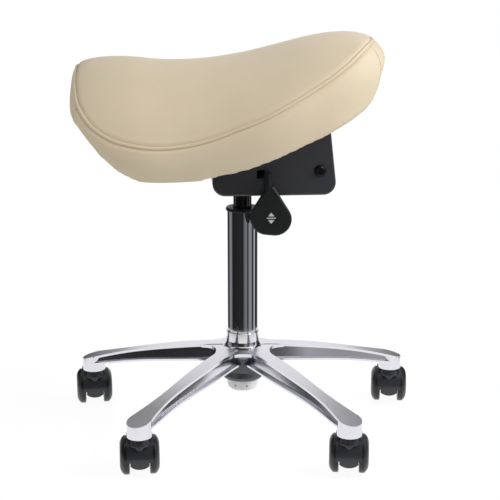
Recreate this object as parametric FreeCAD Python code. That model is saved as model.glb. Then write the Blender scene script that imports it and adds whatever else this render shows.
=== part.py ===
"""Saddle stool on a five-arm cast base: height column, tilting seat mechanism and twin-wheel casters.

Millimetres, +Z up. The origin is on the floor under the column's axis. The seat's long axis is X: its low,
wide front is at -X and its raised rear at +X. The control lever is on the -Y side.
"""
import FreeCAD, Part
import math
import os

Vec = FreeCAD.Vector
UP = Vec(0, 0, 1)
ALONG_X = Vec(1, 0, 0)
ALONG_Y = Vec(0, 1, 0)
ORIGIN = Vec(0, 0, 0)
TINY = 0.01
BIG = 1000.0

# Running clearance between a turning or sliding piece and what guides it
RUNNING_FIT = 0.06
RESTING_GAP = 0.3

# Casters
WHEEL_RADIUS = 30.0
WHEEL_TREAD_INNER = 15.5
WHEEL_TREAD_OUTER = 23.5
WHEEL_OVERALL_HALF = 30.3
WHEEL_HUB_HALF = 6.3
WHEEL_HUB_RADIUS = 9.0
WHEEL_EDGE = 1.4
CASTER_TRAIL = 20.0
CASTER_HEADINGS_DEG = (81.5, 86.1, 95.0, 91.5, 81.5)
AXLE_RADIUS = 3.0
AXLE_HALF = 23.0
HOOD_GAP = 1.3
HOOD_WALL = 2.4
HOOD_HALF_WIDTH = 20.0
HOOD_APRON_HALF_WIDTH = 14.5
HOOD_APRON_LOW = 18.0
HOOD_APRON_ROUND = 20.0
HOOD_REAR_DEG = 18.0
HOOD_SIDE_DEG = 181.0
HOOD_APRON_DEG = 201.0
HOOD_WEB_HALF = 5.0
HOOD_WEB_FLOOR_GAP = 19.0
HOOD_BOSS_RADIUS = 12.0
HOOD_BOSS_ROOT_RADIUS = 15.5
HOOD_BOSS_DROP = 2.5
STEM_RADIUS = 5.5
STEM_FLANGE_RADIUS = 8.5
STEM_FLANGE = 2.2
STEM_BELOW = 22.0
STEM_ABOVE = 16.0
SLEEVE_WALL = 1.2

# Five-arm cast base
ARM_COUNT = 5
FIRST_ARM_DEG = 14.8
ARM_REACH = 270.0
SOCKET_RADIUS = 19.0
SOCKET_BOTTOM = 68.1
SOCKET_TOP_SPARE = 40.0
ARM_TOP_AT_AXIS = 143.5
ARM_TOP_SLOPE = 0.085
ARM_TOP_BEND = 0.00037
ARM_BOTTOM_AT_AXIS = 114.0
ARM_BOTTOM_SLOPE = 0.06
ARM_BOTTOM_BEND = 0.00025
ARM_ROOT = 24.0
ARM_NECK_HALF = 12.5
ARM_WAIST_HALF = 11.5
ARM_RAIL_OUT = 4.0
ARM_GROOVE = 4.5
ARM_DRAFT = 2.0
ARM_LIP = 4.0
ARM_RAIL = 3.2
ARM_EDGE = 1.2
ARM_POCKET_WALL = 2.8
SKIN_THICKNESS = 5.0
SKIN_FILLET = 38.0
SKIN_DROP = 0.5
HUB_BOTTOM = 84.0
HUB_TOP = 165.0
NECK_WALL = 2.0
NECK_FOOT_RADIUS = 36.0
NECK_FLARE_TOP = 149.0
BOSS_WALL = 5.0
BOSS_FLANGE_RADIUS = 34.0
BOSS_FLANGE = 6.0

# Column: outer tube, guide, bearing and the rod fixed at its foot
TUBE_RADIUS = 25.0
TUBE_FOOT_RADIUS = 23.9
TUBE_WALL = 1.8
TUBE_TOP = 368.3
TUBE_FLOOR = 2.5
GUIDE_FLANGE_RADIUS = 27.0
GUIDE_FLANGE = 5.0
GUIDE_LENGTH = 78.0
GUIDE_EDGE = 1.5
BEARING_RADIUS = 15.0
BEARING_HEIGHT = 6.0
ROD_RADIUS = 5.0
ROD_FOOT_RADIUS = 4.2
ROD_COLLAR_RADIUS = 9.5
ROD_COLLAR = 3.0
ROD_FOOT_BELOW = 6.0
CLIP_RADIUS = 8.0
CLIP_THICKNESS = 1.2
BUFFER_RADIUS = 9.0
BUFFER_HEIGHT = 9.0
PISTON_LENGTH = 14.0
LIFT_STROKE = 200.0

# Moulded cap that closes the hub from below
CAP_RADIUS = 27.0
CAP_FOOT_RADIUS = 24.5
CAP_HEIGHT = 19.0
CAP_WALL = 2.2
CAP_HOLE_COUNT = 8
CAP_HOLE_RADIUS = 1.6
CAP_HOLE_HEIGHT = 10.0
CAP_HOLE_FIRST_DEG = -77.5

# Lift cylinder with its tapered top and release pin
LIFT_RADIUS = 15.0
LIFT_WALL = 1.6
LIFT_FOOT = 108.0
LIFT_GLAND = 24.0
LIFT_TAPER_RADIUS = 14.2
LIFT_HEAD = 30.0
PIN_RADIUS = 3.5
PIN_PROUD = 4.0
PIN_LENGTH = 20.0
PIN_TRAVEL = 0.0045

# Tilt housing: a pressed pan that carries the pivot at its rear end
HOUSING_BOTTOM = 399.3
HOUSING_HALF = 45.0
HOUSING_SHEET = 3.0
HOUSING_FRONT = -50.0
HOUSING_REAR_LOW = 147.0
HOUSING_REAR_TOP = 136.0
HOUSING_FRONT_TOP = 450.0
HOUSING_TO_PLATE = 10.0
HOUSING_CORNER = 20.0
HOUSING_BEND = 4.0
TAPER_BUSH_RADIUS = 22.0
TAPER_BUSH_HEIGHT = 22.0

# Tilt pivot at the rear of the housing
PIVOT_X = 119.6
PIVOT_Z = 438.7
PIVOT_BOLT_RADIUS = 5.0
PIVOT_HEAD_RADIUS = 8.5
PIVOT_HEAD = 3.4
PIVOT_NUT_RADIUS = 9.0
PIVOT_NUT = 8.0
PIVOT_BUSH_RADIUS = 10.0
PIVOT_BUSH_FLANGE = 1.0
PIVOT_TUBE_RADIUS = 7.5
WASHER_RADIUS = 15.0
WASHER_THICKNESS = 1.0
TILT_FORWARD_DEG = 9.0
TILT_BACK_DEG = 6.0
NOTCH_STEP_DEG = 3.0

# Upper bracket under the seat
PLATE_UNDER = 516.0
HOUSING_REAR_HEIGHT = PLATE_UNDER - HOUSING_TO_PLATE
PLATE_SHEET = 3.0
PLATE_FRONT = -70.0
PLATE_REAR = 150.0
PLATE_HALF = 60.0
PLATE_CORNER = 14.0
PLATE_FLANGE = 9.0
EAR_SHEET = 3.0
EAR_TOP_FRONT = 70.0
EAR_TOP_REAR = 122.0
EAR_END_RADIUS = 17.0
BOLT_SPACING_X = 150.0
BOLT_SPACING_Y = 98.0
BOLT_CENTRE_X = 35.0
BOLT_RADIUS = 4.0
BOLT_HEAD_RADIUS = 6.5
BOLT_HEAD = 5.0
TEE_NUT_RADIUS = 5.5
TEE_NUT_FLANGE_RADIUS = 9.5
TEE_NUT_FLANGE = 1.5
TEE_NUT_BELOW = 2.0

# Notched lock plate under the bracket
QUADRANT_SHEET = 4.0
QUADRANT_Y = -22.0
QUADRANT_OUTER = 93.0
QUADRANT_NOTCH_DEPTH = 10.0
QUADRANT_RIM = 14.0
QUADRANT_SPARE_DEG = 3.0
QUADRANT_ARM_WIDTH = 44.0
TONGUE_THICKNESS = 2.5
TONGUE_FIT = 0.2
TONGUE_LENGTH = 8.0
TONGUE_X = 33.0
TONGUE_GAP = 1.2

# Lever: it rocks on the lock slider to release the lift and slides to lock the tilt
LEVER_PLAN_DEG = 31.0
LEVER_RADIUS = 4.0
LEVER_INNER_END = -6.0
LEVER_DROP_AT = 70.0
LEVER_BEND = 12.0
LEVER_TIP_Z = 384.0
LEVER_ROCK_DEG = 5.5
FULCRUM_AT = 35.0
FULCRUM_PIN_RADIUS = 1.5
LOCK_TRAVEL = 8.0
SLIDER_THICKNESS = 6.0
SLIDER_HALF = 9.0
SLIDER_TOP_ABOVE = 10.0
SLIDER_BELOW = 9.3
SLIDER_ARM = 5.0
SLIDER_ARM_REAR = 38.0
GUIDE_LIP = 2.2
GUIDE_LIP_HEIGHT = 7.0
GUIDE_RUN = 9.5
SLOT_FRONT = 20.0
SLOT_REAR = 32.2
SLOT_BELOW = 4.8
SLOT_ABOVE = 9.0
PADDLE_FACE_Y = -66.0
PADDLE_THICKNESS = 9.0
PADDLE_CHAMFER = 2.2
PADDLE_SLEEVE_RADIUS = 6.2
PADDLE_SLEEVE_TOP = 439.5
PADDLE_COLLAR = 4.0
PADDLE_TOP = (39.8, 427.0)
PADDLE_FRONT_CORNER = (-10.5, 345.8)
PADDLE_REAR_CORNER = (98.0, 333.9)
PADDLE_TOP_ROUND = 9.0
PADDLE_FRONT_ROUND = 27.0
PADDLE_REAR_ROUND = 26.0

# Saddle seat. A station is: place along X, half width, crown height, seam height, lower edge, hollow under it
SEAT_STATIONS = (
    (-270.0, 112.0, 583.0, 566.0, 553.0, 573.0),
    (-266.0, 138.0, 598.0, 557.0, 525.0, 561.0),
    (-256.0, 160.0, 607.0, 541.0, 497.0, 555.0),
    (-232.0, 177.0, 613.0, 521.0, 473.0, 553.0),
    (-190.0, 186.0, 615.5, 505.0, 456.0, 553.0),
    (-124.0, 189.0, 610.0, 499.0, 449.5, 552.0),
    (-60.0, 187.0, 611.5, 511.0, 455.0, 552.0),
    (0.0, 181.0, 620.0, 535.0, 469.0, 553.0),
    (60.0, 169.0, 633.0, 562.0, 491.0, 555.0),
    (110.0, 151.0, 645.0, 587.0, 509.0, 558.0),
    (152.0, 128.0, 651.0, 612.0, 530.0, 562.0),
    (186.0, 99.0, 650.0, 634.0, 552.0, 567.0),
    (208.0, 72.0, 642.0, 638.0, 567.0, 572.0),
    (221.0, 46.0, 624.0, 622.0, 583.0, 584.0),
)
BAND_BULGE = 7.0
BAND_DRAWN_IN = 5.0
COVER_THICKNESS = 2.5
BOARD_INSET = 10.0
BOARD_THICKNESS = 12.0
UNDER_COVER_THICKNESS = 1.5
UNDER_COVER_INSET = 14.0
SEAM_OVERRUN = 4.0
SEAT_GAP = 0.35
FOAM_FRONT = -264.0
RISER_FRONT = -62.0
RISER_REAR = 132.0
RISER_HALF = 57.0

os.makedirs("parts", exist_ok=True)


def cylinder(radius, height, base=ORIGIN, along=UP):
    """A round bar that starts at base and runs along the given direction."""
    return Part.makeCylinder(radius, height, base, along)


def ring(outer, inner, height, base=ORIGIN, along=UP):
    """A round tube."""
    return cylinder(outer, height, base, along).cut(cylinder(inner, height, base, along))


def box(low, high):
    """A block between two opposite corners."""
    size = high.sub(low)
    return Part.makeBox(size.x, size.y, size.z, low)


def fuse(first, *others):
    """Several solids joined into one, with the seams between level faces removed."""
    return first.fuse(list(others)).removeSplitter()


def turned(points):
    """A solid of revolution about Z from (radius, height) corners."""
    corners = [Vec(radius, 0, height) for radius, height in points]
    face = Part.Face(Part.makePolygon(corners + corners[:1]))
    return face.revolve(ORIGIN, UP, 360)


def rounded_face(corners, place):
    """A flat face from (a, b, corner radius) corners, where place turns (a, b) into a point."""
    edges = []
    starts = []
    count = len(corners)
    for index, (a, b, radius) in enumerate(corners):
        here = Vec(a, b, 0)
        before = Vec(*corners[index - 1][:2], 0).sub(here).normalize()
        after = Vec(*corners[(index + 1) % count][:2], 0).sub(here).normalize()
        half = before.getAngle(after) / 2.0
        reach = radius / math.tan(half)
        first = here.add(before.multiply(reach)) if radius else here
        last = here.add(after.multiply(reach)) if radius else here
        middle = here
        if radius:
            inward = first.add(last).multiply(0.5).sub(here).normalize()
            middle = here.add(inward.multiply(radius / math.sin(half) - radius))
        starts.append((first, middle, last, radius))
    for index, (first, middle, last, radius) in enumerate(starts):
        if radius:
            edges.append(Part.Arc(place(first), place(middle), place(last)).toShape())
        following = starts[(index + 1) % count][0]
        if last.distanceToPoint(following) > TINY:
            edges.append(Part.LineSegment(place(last), place(following)).toShape())
    return Part.Face(Part.Wire(Part.__sortEdges__(edges)))


def side_plate(corners, y_low, thickness):
    """A plate that stands in the XZ plane, from (x, z, corner radius) corners."""
    face = rounded_face(corners, lambda p: Vec(p.x, y_low, p.y))
    return face.extrude(Vec(0, thickness, 0))


def flat_plate(corners, z_low, thickness):
    """A level plate, from (x, y, corner radius) corners."""
    face = rounded_face(corners, lambda p: Vec(p.x, p.y, z_low))
    return face.extrude(Vec(0, 0, thickness))


def around_z(shape, degrees):
    """A copy turned about the column's axis."""
    copy = shape.copy()
    copy.rotate(ORIGIN, UP, degrees)
    return copy


def save(name, shape):
    """Writes one named piece."""
    shape.exportStep("parts/%s.step" % name)


def arm_angles():
    """The directions of the base's arms."""
    return [FIRST_ARM_DEG + index * 360.0 / ARM_COUNT for index in range(ARM_COUNT)]


def arm_top(reach):
    """Height of an arm's top face at a distance from the axis."""
    return ARM_TOP_AT_AXIS - ARM_TOP_SLOPE * reach - ARM_TOP_BEND * reach * reach


def arm_bottom(reach):
    """Height of an arm's lower edge at a distance from the axis."""
    return ARM_BOTTOM_AT_AXIS - ARM_BOTTOM_SLOPE * reach - ARM_BOTTOM_BEND * reach * reach


def arm_section(reach, half, rail_half):
    """An arm's outline: flat top with rounded lips, a groove in each side and a wider rail below."""
    top = arm_top(reach)
    low = arm_bottom(reach)
    web = half - ARM_GROOVE
    side = [
        (half, top),
        (half, top - ARM_LIP),
        (web, top - ARM_LIP - ARM_EDGE),
        (web + ARM_DRAFT, low + ARM_RAIL + ARM_EDGE),
        (rail_half, low + ARM_RAIL),
        (rail_half, low),
    ]
    loop = side + [(-across, height) for across, height in reversed(side)]
    corners = [Vec(reach, across, height) for across, height in loop]
    return Part.makePolygon(corners + corners[:1])


def arm_pocket_section(reach, half):
    """The hollow under an arm, open below."""
    inner = half - ARM_GROOVE - ARM_POCKET_WALL
    top = arm_top(reach) - SKIN_THICKNESS - ARM_EDGE
    low = arm_bottom(reach) - ARM_EDGE
    corners = [Vec(reach, -inner, low), Vec(reach, inner, low), Vec(reach, inner, top),
        Vec(reach, -inner, top)]
    return Part.makePolygon(corners + corners[:1])


def base_arm():
    """One arm along +X with the round caster socket at its tip."""
    tip = ARM_REACH - SOCKET_RADIUS
    stations = (
        (ARM_ROOT, ARM_NECK_HALF),
        (ARM_REACH * 0.25, ARM_NECK_HALF),
        (ARM_REACH * 0.55, ARM_WAIST_HALF),
        (tip - SOCKET_RADIUS, ARM_WAIST_HALF + 1.2),
        (tip, SOCKET_RADIUS - 3.4),
        (ARM_REACH - SOCKET_RADIUS * 0.4, SOCKET_RADIUS - ARM_EDGE),
    )
    rails = [min(half + ARM_RAIL_OUT, SOCKET_RADIUS - 1.0) for reach, half in stations]
    wires = [arm_section(reach, half, rail) for (reach, half), rail in zip(stations, rails)]
    arm = Part.makeLoft(wires, True, False)
    slope = math.degrees(math.atan(ARM_TOP_SLOPE + 2 * ARM_TOP_BEND * ARM_REACH))
    socket_height = arm_top(ARM_REACH) - SOCKET_BOTTOM + SOCKET_TOP_SPARE / 2
    socket = cylinder(SOCKET_RADIUS, socket_height, Vec(ARM_REACH, 0, SOCKET_BOTTOM))
    above = box(Vec(-BIG, -BIG, 0), Vec(BIG, BIG, BIG))
    above.rotate(ORIGIN, ALONG_Y, slope)
    above.translate(Vec(ARM_REACH, 0, arm_top(ARM_REACH)))
    socket = socket.cut(above)
    pocket_wires = [arm_pocket_section(reach, ARM_WAIST_HALF) for reach, half in stations[1:4]]
    pocket = Part.makeLoft(pocket_wires, True, False)
    return fuse(arm, socket).cut(pocket)


def hub_body():
    """The hub: a thin neck that flares into the arms' skin, over a round boss."""
    foot = arm_top(NECK_FOOT_RADIUS) - 2 * SKIN_DROP
    neck = TUBE_RADIUS + NECK_WALL
    boss = TUBE_RADIUS + BOSS_WALL
    corners = [
        Vec(0, 0, HUB_BOTTOM),
        Vec(BOSS_FLANGE_RADIUS - 2.5, 0, HUB_BOTTOM),
        Vec(BOSS_FLANGE_RADIUS, 0, HUB_BOTTOM + 2.5),
        Vec(BOSS_FLANGE_RADIUS, 0, HUB_BOTTOM + BOSS_FLANGE),
        Vec(boss + 1.5, 0, HUB_BOTTOM + BOSS_FLANGE + 8.0),
        Vec(boss, 0, foot - SKIN_THICKNESS),
        Vec(NECK_FOOT_RADIUS, 0, foot - SKIN_THICKNESS),
        Vec(NECK_FOOT_RADIUS, 0, foot),
    ]
    edges = [Part.LineSegment(a, b).toShape() for a, b in zip(corners, corners[1:])]
    flare_end = Vec(neck, 0, NECK_FLARE_TOP)
    flare_mid = Vec(neck + 2.9, 0, foot + (NECK_FLARE_TOP - foot) * 0.32)
    edges.append(Part.Arc(corners[-1], flare_mid, flare_end).toShape())
    rest = [flare_end, Vec(neck, 0, HUB_TOP - 0.7), Vec(neck - 0.6, 0, HUB_TOP), Vec(0, 0, HUB_TOP),
        corners[0]]
    edges += [Part.LineSegment(a, b).toShape() for a, b in zip(rest, rest[1:])]
    return Part.Face(Part.Wire(edges)).revolve(ORIGIN, UP, 360)


def hub_skin():
    """The web between neighbouring arms, scooped out between them by round fillets."""
    half_step = math.pi / ARM_COUNT
    centre = (ARM_NECK_HALF + SKIN_FILLET) / math.sin(half_step)
    rim = centre * math.cos(half_step)
    middle = (ARM_ROOT + rim) / 2
    upper = [(reach, arm_top(reach) - SKIN_DROP) for reach in (ARM_ROOT, middle, rim)]
    lower = [(reach, height - SKIN_THICKNESS) for reach, height in reversed(upper)]
    skin = turned(upper + lower)
    for angle in arm_angles():
        between = math.radians(angle) + half_step
        place = Vec(centre * math.cos(between), centre * math.sin(between), 0)
        skin = skin.cut(cylinder(SKIN_FILLET, BIG, place))
    return skin


def tube_radius_at(height):
    """The column tube tapers slightly inside the hub, so that it wedges there."""
    share = (height - HUB_BOTTOM) / (HUB_TOP - HUB_BOTTOM)
    return TUBE_FOOT_RADIUS + (TUBE_RADIUS - TUBE_FOOT_RADIUS) * share


def column_taper():
    """The tapered foot of the column, which is also the hub's bore."""
    return Part.makeCone(TUBE_FOOT_RADIUS, TUBE_RADIUS, HUB_TOP - HUB_BOTTOM, Vec(0, 0, HUB_BOTTOM), UP)


def socket_places():
    """The caster sockets' centres, level with the floor."""
    places = []
    for angle in arm_angles():
        turn = math.radians(angle)
        places.append(Vec(ARM_REACH * math.cos(turn), ARM_REACH * math.sin(turn), 0))
    return places


def stem_bore(place, radius):
    """The hole for a caster stem in its socket."""
    return cylinder(radius, STEM_ABOVE, place.add(Vec(0, 0, SOCKET_BOTTOM)))


def base_star():
    """The cast base: hub, skin, arms and sockets in one casting."""
    arm = base_arm()
    arms = [around_z(arm, angle) for angle in arm_angles()]
    casting = fuse(hub_body(), hub_skin(), *arms)
    casting = casting.cut(column_taper())
    bores = [stem_bore(place, STEM_RADIUS + SLEEVE_WALL) for place in socket_places()]
    return casting.cut(Part.makeCompound(bores))


def stem_sleeves():
    """The five grip sleeves pressed into the sockets."""
    sleeves = []
    for place in socket_places():
        base = place.add(Vec(0, 0, SOCKET_BOTTOM))
        sleeves.append(ring(STEM_RADIUS + SLEEVE_WALL, STEM_RADIUS, STEM_ABOVE, base))
    return Part.makeCompound(sleeves)


def column_tube():
    """The polished outer tube, closed by a thick floor at its foot."""
    outer = fuse(column_taper(), cylinder(TUBE_RADIUS, TUBE_TOP - HUB_TOP, Vec(0, 0, HUB_TOP)))
    floor = HUB_BOTTOM + TUBE_FLOOR
    taper = Part.makeCone(
        tube_radius_at(floor) - TUBE_WALL, TUBE_RADIUS - TUBE_WALL, HUB_TOP - floor, Vec(0, 0, floor), UP)
    bore = fuse(taper, cylinder(TUBE_RADIUS - TUBE_WALL, TUBE_TOP - HUB_TOP, Vec(0, 0, HUB_TOP)))
    hole = cylinder(ROD_FOOT_RADIUS + RUNNING_FIT, TUBE_FLOOR, Vec(0, 0, HUB_BOTTOM))
    return outer.cut(bore).cut(hole)


def column_guide():
    """The plastic bush in the tube's mouth, with a rounded flange on top."""
    bore = LIFT_RADIUS + RUNNING_FIT
    shell = TUBE_RADIUS - TUBE_WALL
    top = TUBE_TOP + GUIDE_FLANGE
    return turned([
        (bore, TUBE_TOP - GUIDE_LENGTH), (shell, TUBE_TOP - GUIDE_LENGTH), (shell, TUBE_TOP),
        (GUIDE_FLANGE_RADIUS - 0.5, TUBE_TOP), (GUIDE_FLANGE_RADIUS, TUBE_TOP + 0.8),
        (GUIDE_FLANGE_RADIUS, top - GUIDE_EDGE), (GUIDE_FLANGE_RADIUS - GUIDE_EDGE, top),
        (bore + 2 * GUIDE_EDGE, top), (bore, top - GUIDE_EDGE)])


def bearing_top():
    """Height of the thrust bearing's upper face, on which the rod's collar turns."""
    return HUB_BOTTOM + TUBE_FLOOR + BEARING_HEIGHT


def thrust_bearing():
    """The ring between the tube's floor and the rod's collar, grooved where its balls run."""
    base = Vec(0, 0, HUB_BOTTOM + TUBE_FLOOR)
    race = (BEARING_RADIUS + ROD_FOOT_RADIUS) / 2
    body = ring(BEARING_RADIUS, ROD_FOOT_RADIUS + RUNNING_FIT, BEARING_HEIGHT, base)
    groove = ring(BEARING_RADIUS + 1, race, BEARING_HEIGHT / 4, base.add(Vec(0, 0, BEARING_HEIGHT * 3 / 8)))
    return body.cut(groove)


def piston_rod():
    """The rod that stands in the tube: a thin foot through the bearing, a collar, then the full rod."""
    low = HUB_BOTTOM - ROD_FOOT_BELOW
    seat = bearing_top()
    top = lift_head_under() - RESTING_GAP * 10
    neck = ROD_FOOT_RADIUS - 1.0
    clip_top = HUB_BOTTOM - RESTING_GAP
    return turned([
        (0, low), (ROD_FOOT_RADIUS, low), (ROD_FOOT_RADIUS, clip_top - CLIP_THICKNESS),
        (neck, clip_top - CLIP_THICKNESS), (neck, clip_top), (ROD_FOOT_RADIUS, clip_top),
        (ROD_FOOT_RADIUS, seat), (ROD_COLLAR_RADIUS, seat), (ROD_COLLAR_RADIUS, seat + ROD_COLLAR),
        (ROD_RADIUS, seat + ROD_COLLAR), (ROD_RADIUS, top), (0, top)])


def rod_clip():
    """The spring clip in the rod's groove, open on one side."""
    base = Vec(0, 0, HUB_BOTTOM - RESTING_GAP - CLIP_THICKNESS)
    clip = ring(CLIP_RADIUS, ROD_FOOT_RADIUS - 1.0, CLIP_THICKNESS, base)
    mouth = ROD_FOOT_RADIUS - 1.2
    gap = box(Vec(0, -mouth, base.z), Vec(CLIP_RADIUS * 2, mouth, base.z + CLIP_THICKNESS))
    return clip.cut(gap)


def rod_buffer():
    """The rubber ring on which the cylinder comes down."""
    base = Vec(0, 0, bearing_top() + ROD_COLLAR)
    return ring(BUFFER_RADIUS, ROD_RADIUS, BUFFER_HEIGHT, base)


def lift_top():
    """Height of the lift cylinder's upper face."""
    return HOUSING_BOTTOM + HOUSING_SHEET + TAPER_BUSH_HEIGHT


def lift_head_under():
    """Height of the underside of the cylinder's valve head."""
    return lift_top() - LIFT_HEAD


def piston_head():
    """The piston near the rod's upper end."""
    top = lift_head_under() - RESTING_GAP * 10
    base = Vec(0, 0, top - PISTON_LENGTH - 2)
    inner = LIFT_RADIUS - LIFT_WALL
    body = ring(inner - RUNNING_FIT, ROD_RADIUS, PISTON_LENGTH, base)
    groove = ring(inner, inner - 1.5, PISTON_LENGTH / 5, base.add(Vec(0, 0, PISTON_LENGTH * 2 / 5)))
    return body.cut(groove)


def lift_cylinder():
    """The sliding cylinder, tapered at its top where the housing wedges on."""
    top = lift_top()
    inner = LIFT_RADIUS - LIFT_WALL
    head = lift_head_under()
    return turned([
        (inner, LIFT_FOOT), (LIFT_RADIUS - 0.8, LIFT_FOOT), (LIFT_RADIUS, LIFT_FOOT + 0.8),
        (LIFT_RADIUS, HOUSING_BOTTOM), (LIFT_TAPER_RADIUS, top), (PIN_RADIUS + RUNNING_FIT, top),
        (PIN_RADIUS + RUNNING_FIT, head), (inner, head)])


def lift_gland():
    """The seal that closes the cylinder's foot round the rod."""
    base = Vec(0, 0, LIFT_FOOT)
    return ring(LIFT_RADIUS - LIFT_WALL, ROD_RADIUS + RUNNING_FIT, LIFT_GLAND, base)


def release_pin():
    """The pin that opens the valve when it is pressed down."""
    top = lift_top() + PIN_PROUD
    return turned([
        (0, top - PIN_LENGTH), (PIN_RADIUS, top - PIN_LENGTH), (PIN_RADIUS, top - 0.6),
        (PIN_RADIUS - 0.6, top), (0, top)])


def base_cap():
    """The round moulded cap under the hub, with a row of holes round its side."""
    top = HUB_BOTTOM
    low = top - CAP_HEIGHT
    edge = 3.0
    shell = turned([
        (0, low), (CAP_FOOT_RADIUS - edge, low), (CAP_FOOT_RADIUS, low + edge), (CAP_RADIUS, top), (0, top)])
    hollow = turned([
        (0, low + CAP_WALL), (CAP_FOOT_RADIUS - edge, low + CAP_WALL), (CAP_RADIUS - CAP_WALL, top),
        (0, top)])
    shell = shell.cut(hollow)
    holes = []
    for index in range(CAP_HOLE_COUNT):
        turn = math.radians(CAP_HOLE_FIRST_DEG + index * 360.0 / CAP_HOLE_COUNT)
        outward = Vec(math.cos(turn), math.sin(turn), 0)
        start = Vec(outward.x, outward.y, 0).multiply(CAP_FOOT_RADIUS - 2 * CAP_WALL)
        holes.append(cylinder(CAP_HOLE_RADIUS, 3 * CAP_WALL, start.add(Vec(0, 0, top - CAP_HOLE_HEIGHT)),
            outward))
    return shell.cut(Part.makeCompound(holes))


def housing_outline(inset):
    """The pan's side outline as (x, z, corner radius), drawn in by the given amount."""
    lean = inset * 1.1
    return [
        (HOUSING_FRONT + inset, HOUSING_BOTTOM + inset, HOUSING_CORNER - inset),
        (HOUSING_REAR_LOW + 1.0 - lean, HOUSING_BOTTOM + inset, HOUSING_CORNER - inset),
        (HOUSING_REAR_TOP - lean, HOUSING_REAR_HEIGHT, 0),
        (HOUSING_FRONT + inset, HOUSING_FRONT_TOP, 0),
    ]


def plan_outward():
    """The lever's direction in plan, from the column outward."""
    turn = math.radians(LEVER_PLAN_DEG)
    return Vec(math.sin(turn), -math.cos(turn), 0)


def plan_across():
    """The level direction square to the lever."""
    turn = math.radians(LEVER_PLAN_DEG)
    return Vec(math.cos(turn), math.sin(turn), 0)


def lever_height():
    """Height of the lever's centre line, just above the release pin."""
    return lift_top() + PIN_PROUD + RESTING_GAP + LEVER_RADIUS


def plan_block(out_low, out_high, across_low, across_high, z_low, z_high):
    """A block lined up with the lever in plan."""
    block = box(Vec(across_low, -out_high, z_low), Vec(across_high, -out_low, z_high))
    block.rotate(ORIGIN, UP, LEVER_PLAN_DEG)
    return block


def tilt_housing():
    """The pressed pan: two cheeks, a floor and end walls, with holes for lift, pivot and lever."""
    pan = side_plate(housing_outline(0.0), -HOUSING_HALF, 2 * HOUSING_HALF)
    lower_edges = []
    for edge in pan.Edges:
        middle = edge.CenterOfMass
        on_side = abs(abs(middle.y) - HOUSING_HALF) < TINY
        if on_side and middle.z < HOUSING_BOTTOM + HOUSING_CORNER:
            lower_edges.append(edge)
    pan = pan.makeFillet(HOUSING_BEND, lower_edges)
    inner = HOUSING_HALF - HOUSING_SHEET
    room = side_plate(housing_outline(HOUSING_SHEET), -inner, 2 * inner)
    top_room = side_plate([
        (HOUSING_FRONT + HOUSING_SHEET, HOUSING_FRONT_TOP - 2, 0),
        (HOUSING_REAR_TOP - HOUSING_SHEET, HOUSING_REAR_HEIGHT - 2, 0),
        (HOUSING_REAR_TOP - HOUSING_SHEET, HOUSING_REAR_HEIGHT + 20, 0),
        (HOUSING_FRONT + HOUSING_SHEET, HOUSING_FRONT_TOP + 20, 0)], -inner, 2 * inner)
    pan = pan.cut(room).cut(top_room)
    lift_hole = cylinder(LIFT_RADIUS, HOUSING_SHEET * 2, Vec(0, 0, HOUSING_BOTTOM - 1))
    pivot_hole = cylinder(PIVOT_BUSH_RADIUS, 4 * HOUSING_HALF, Vec(PIVOT_X, -2 * HOUSING_HALF, PIVOT_Z),
        ALONG_Y)
    height = lever_height()
    slot = box(Vec(SLOT_FRONT, -HOUSING_HALF - 1, height - SLOT_BELOW),
        Vec(SLOT_REAR, -inner + 1, height + SLOT_ABOVE))
    return pan.cut(lift_hole).cut(pivot_hole).cut(slot)


def taper_bush():
    """The steel ring welded on the pan's floor, which wedges on the cylinder's taper."""
    floor = HOUSING_BOTTOM + HOUSING_SHEET
    share = HOUSING_SHEET / (lift_top() - HOUSING_BOTTOM)
    low_radius = LIFT_RADIUS - (LIFT_RADIUS - LIFT_TAPER_RADIUS) * share
    return turned([
        (low_radius, floor), (TAPER_BUSH_RADIUS, floor),
        (TAPER_BUSH_RADIUS - 1.5, lift_top()), (LIFT_TAPER_RADIUS, lift_top())])


def pivot_bushes():
    """The two flanged plastic bushes in the cheeks."""
    inner = HOUSING_HALF - HOUSING_SHEET
    bushes = []
    for side in (-1, 1):
        base = Vec(PIVOT_X, side * inner, PIVOT_Z)
        bushes.append(ring(PIVOT_BUSH_RADIUS, PIVOT_BOLT_RADIUS, HOUSING_SHEET + PIVOT_BUSH_FLANGE, base,
            Vec(0, side, 0)))
    return Part.makeCompound(bushes)


def pivot_reach():
    """Distance from the centre plane to the bushes' outer faces."""
    return HOUSING_HALF + PIVOT_BUSH_FLANGE


def pivot_bolt():
    """The pivot bolt, with a round domed head on the lever's side."""
    reach = pivot_reach()
    shank = 2 * reach + PIVOT_NUT + 1.5
    bolt = turned([
        (0, -PIVOT_HEAD), (PIVOT_HEAD_RADIUS - 2.0, -PIVOT_HEAD), (PIVOT_HEAD_RADIUS, -PIVOT_HEAD + 1.6),
        (PIVOT_HEAD_RADIUS, 0), (PIVOT_BOLT_RADIUS, 0), (PIVOT_BOLT_RADIUS, shank - 1),
        (PIVOT_BOLT_RADIUS - 1, shank), (0, shank)])
    socket = cylinder(2.9, 1.8, Vec(0, 0, -PIVOT_HEAD))
    bolt = bolt.cut(socket)
    bolt.rotate(ORIGIN, ALONG_X, -90)
    bolt.translate(Vec(PIVOT_X, -reach, PIVOT_Z))
    return bolt


def pivot_nut():
    """The lock nut on the far side."""
    corners = [(PIVOT_NUT_RADIUS * math.cos(math.radians(60 * n)),
        PIVOT_NUT_RADIUS * math.sin(math.radians(60 * n)), 0)
               for n in range(6)]
    nut = flat_plate(corners, 0, PIVOT_NUT).cut(cylinder(PIVOT_BOLT_RADIUS, PIVOT_NUT))
    nut.rotate(ORIGIN, ALONG_X, -90)
    nut.translate(Vec(PIVOT_X, pivot_reach(), PIVOT_Z))
    return nut


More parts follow.
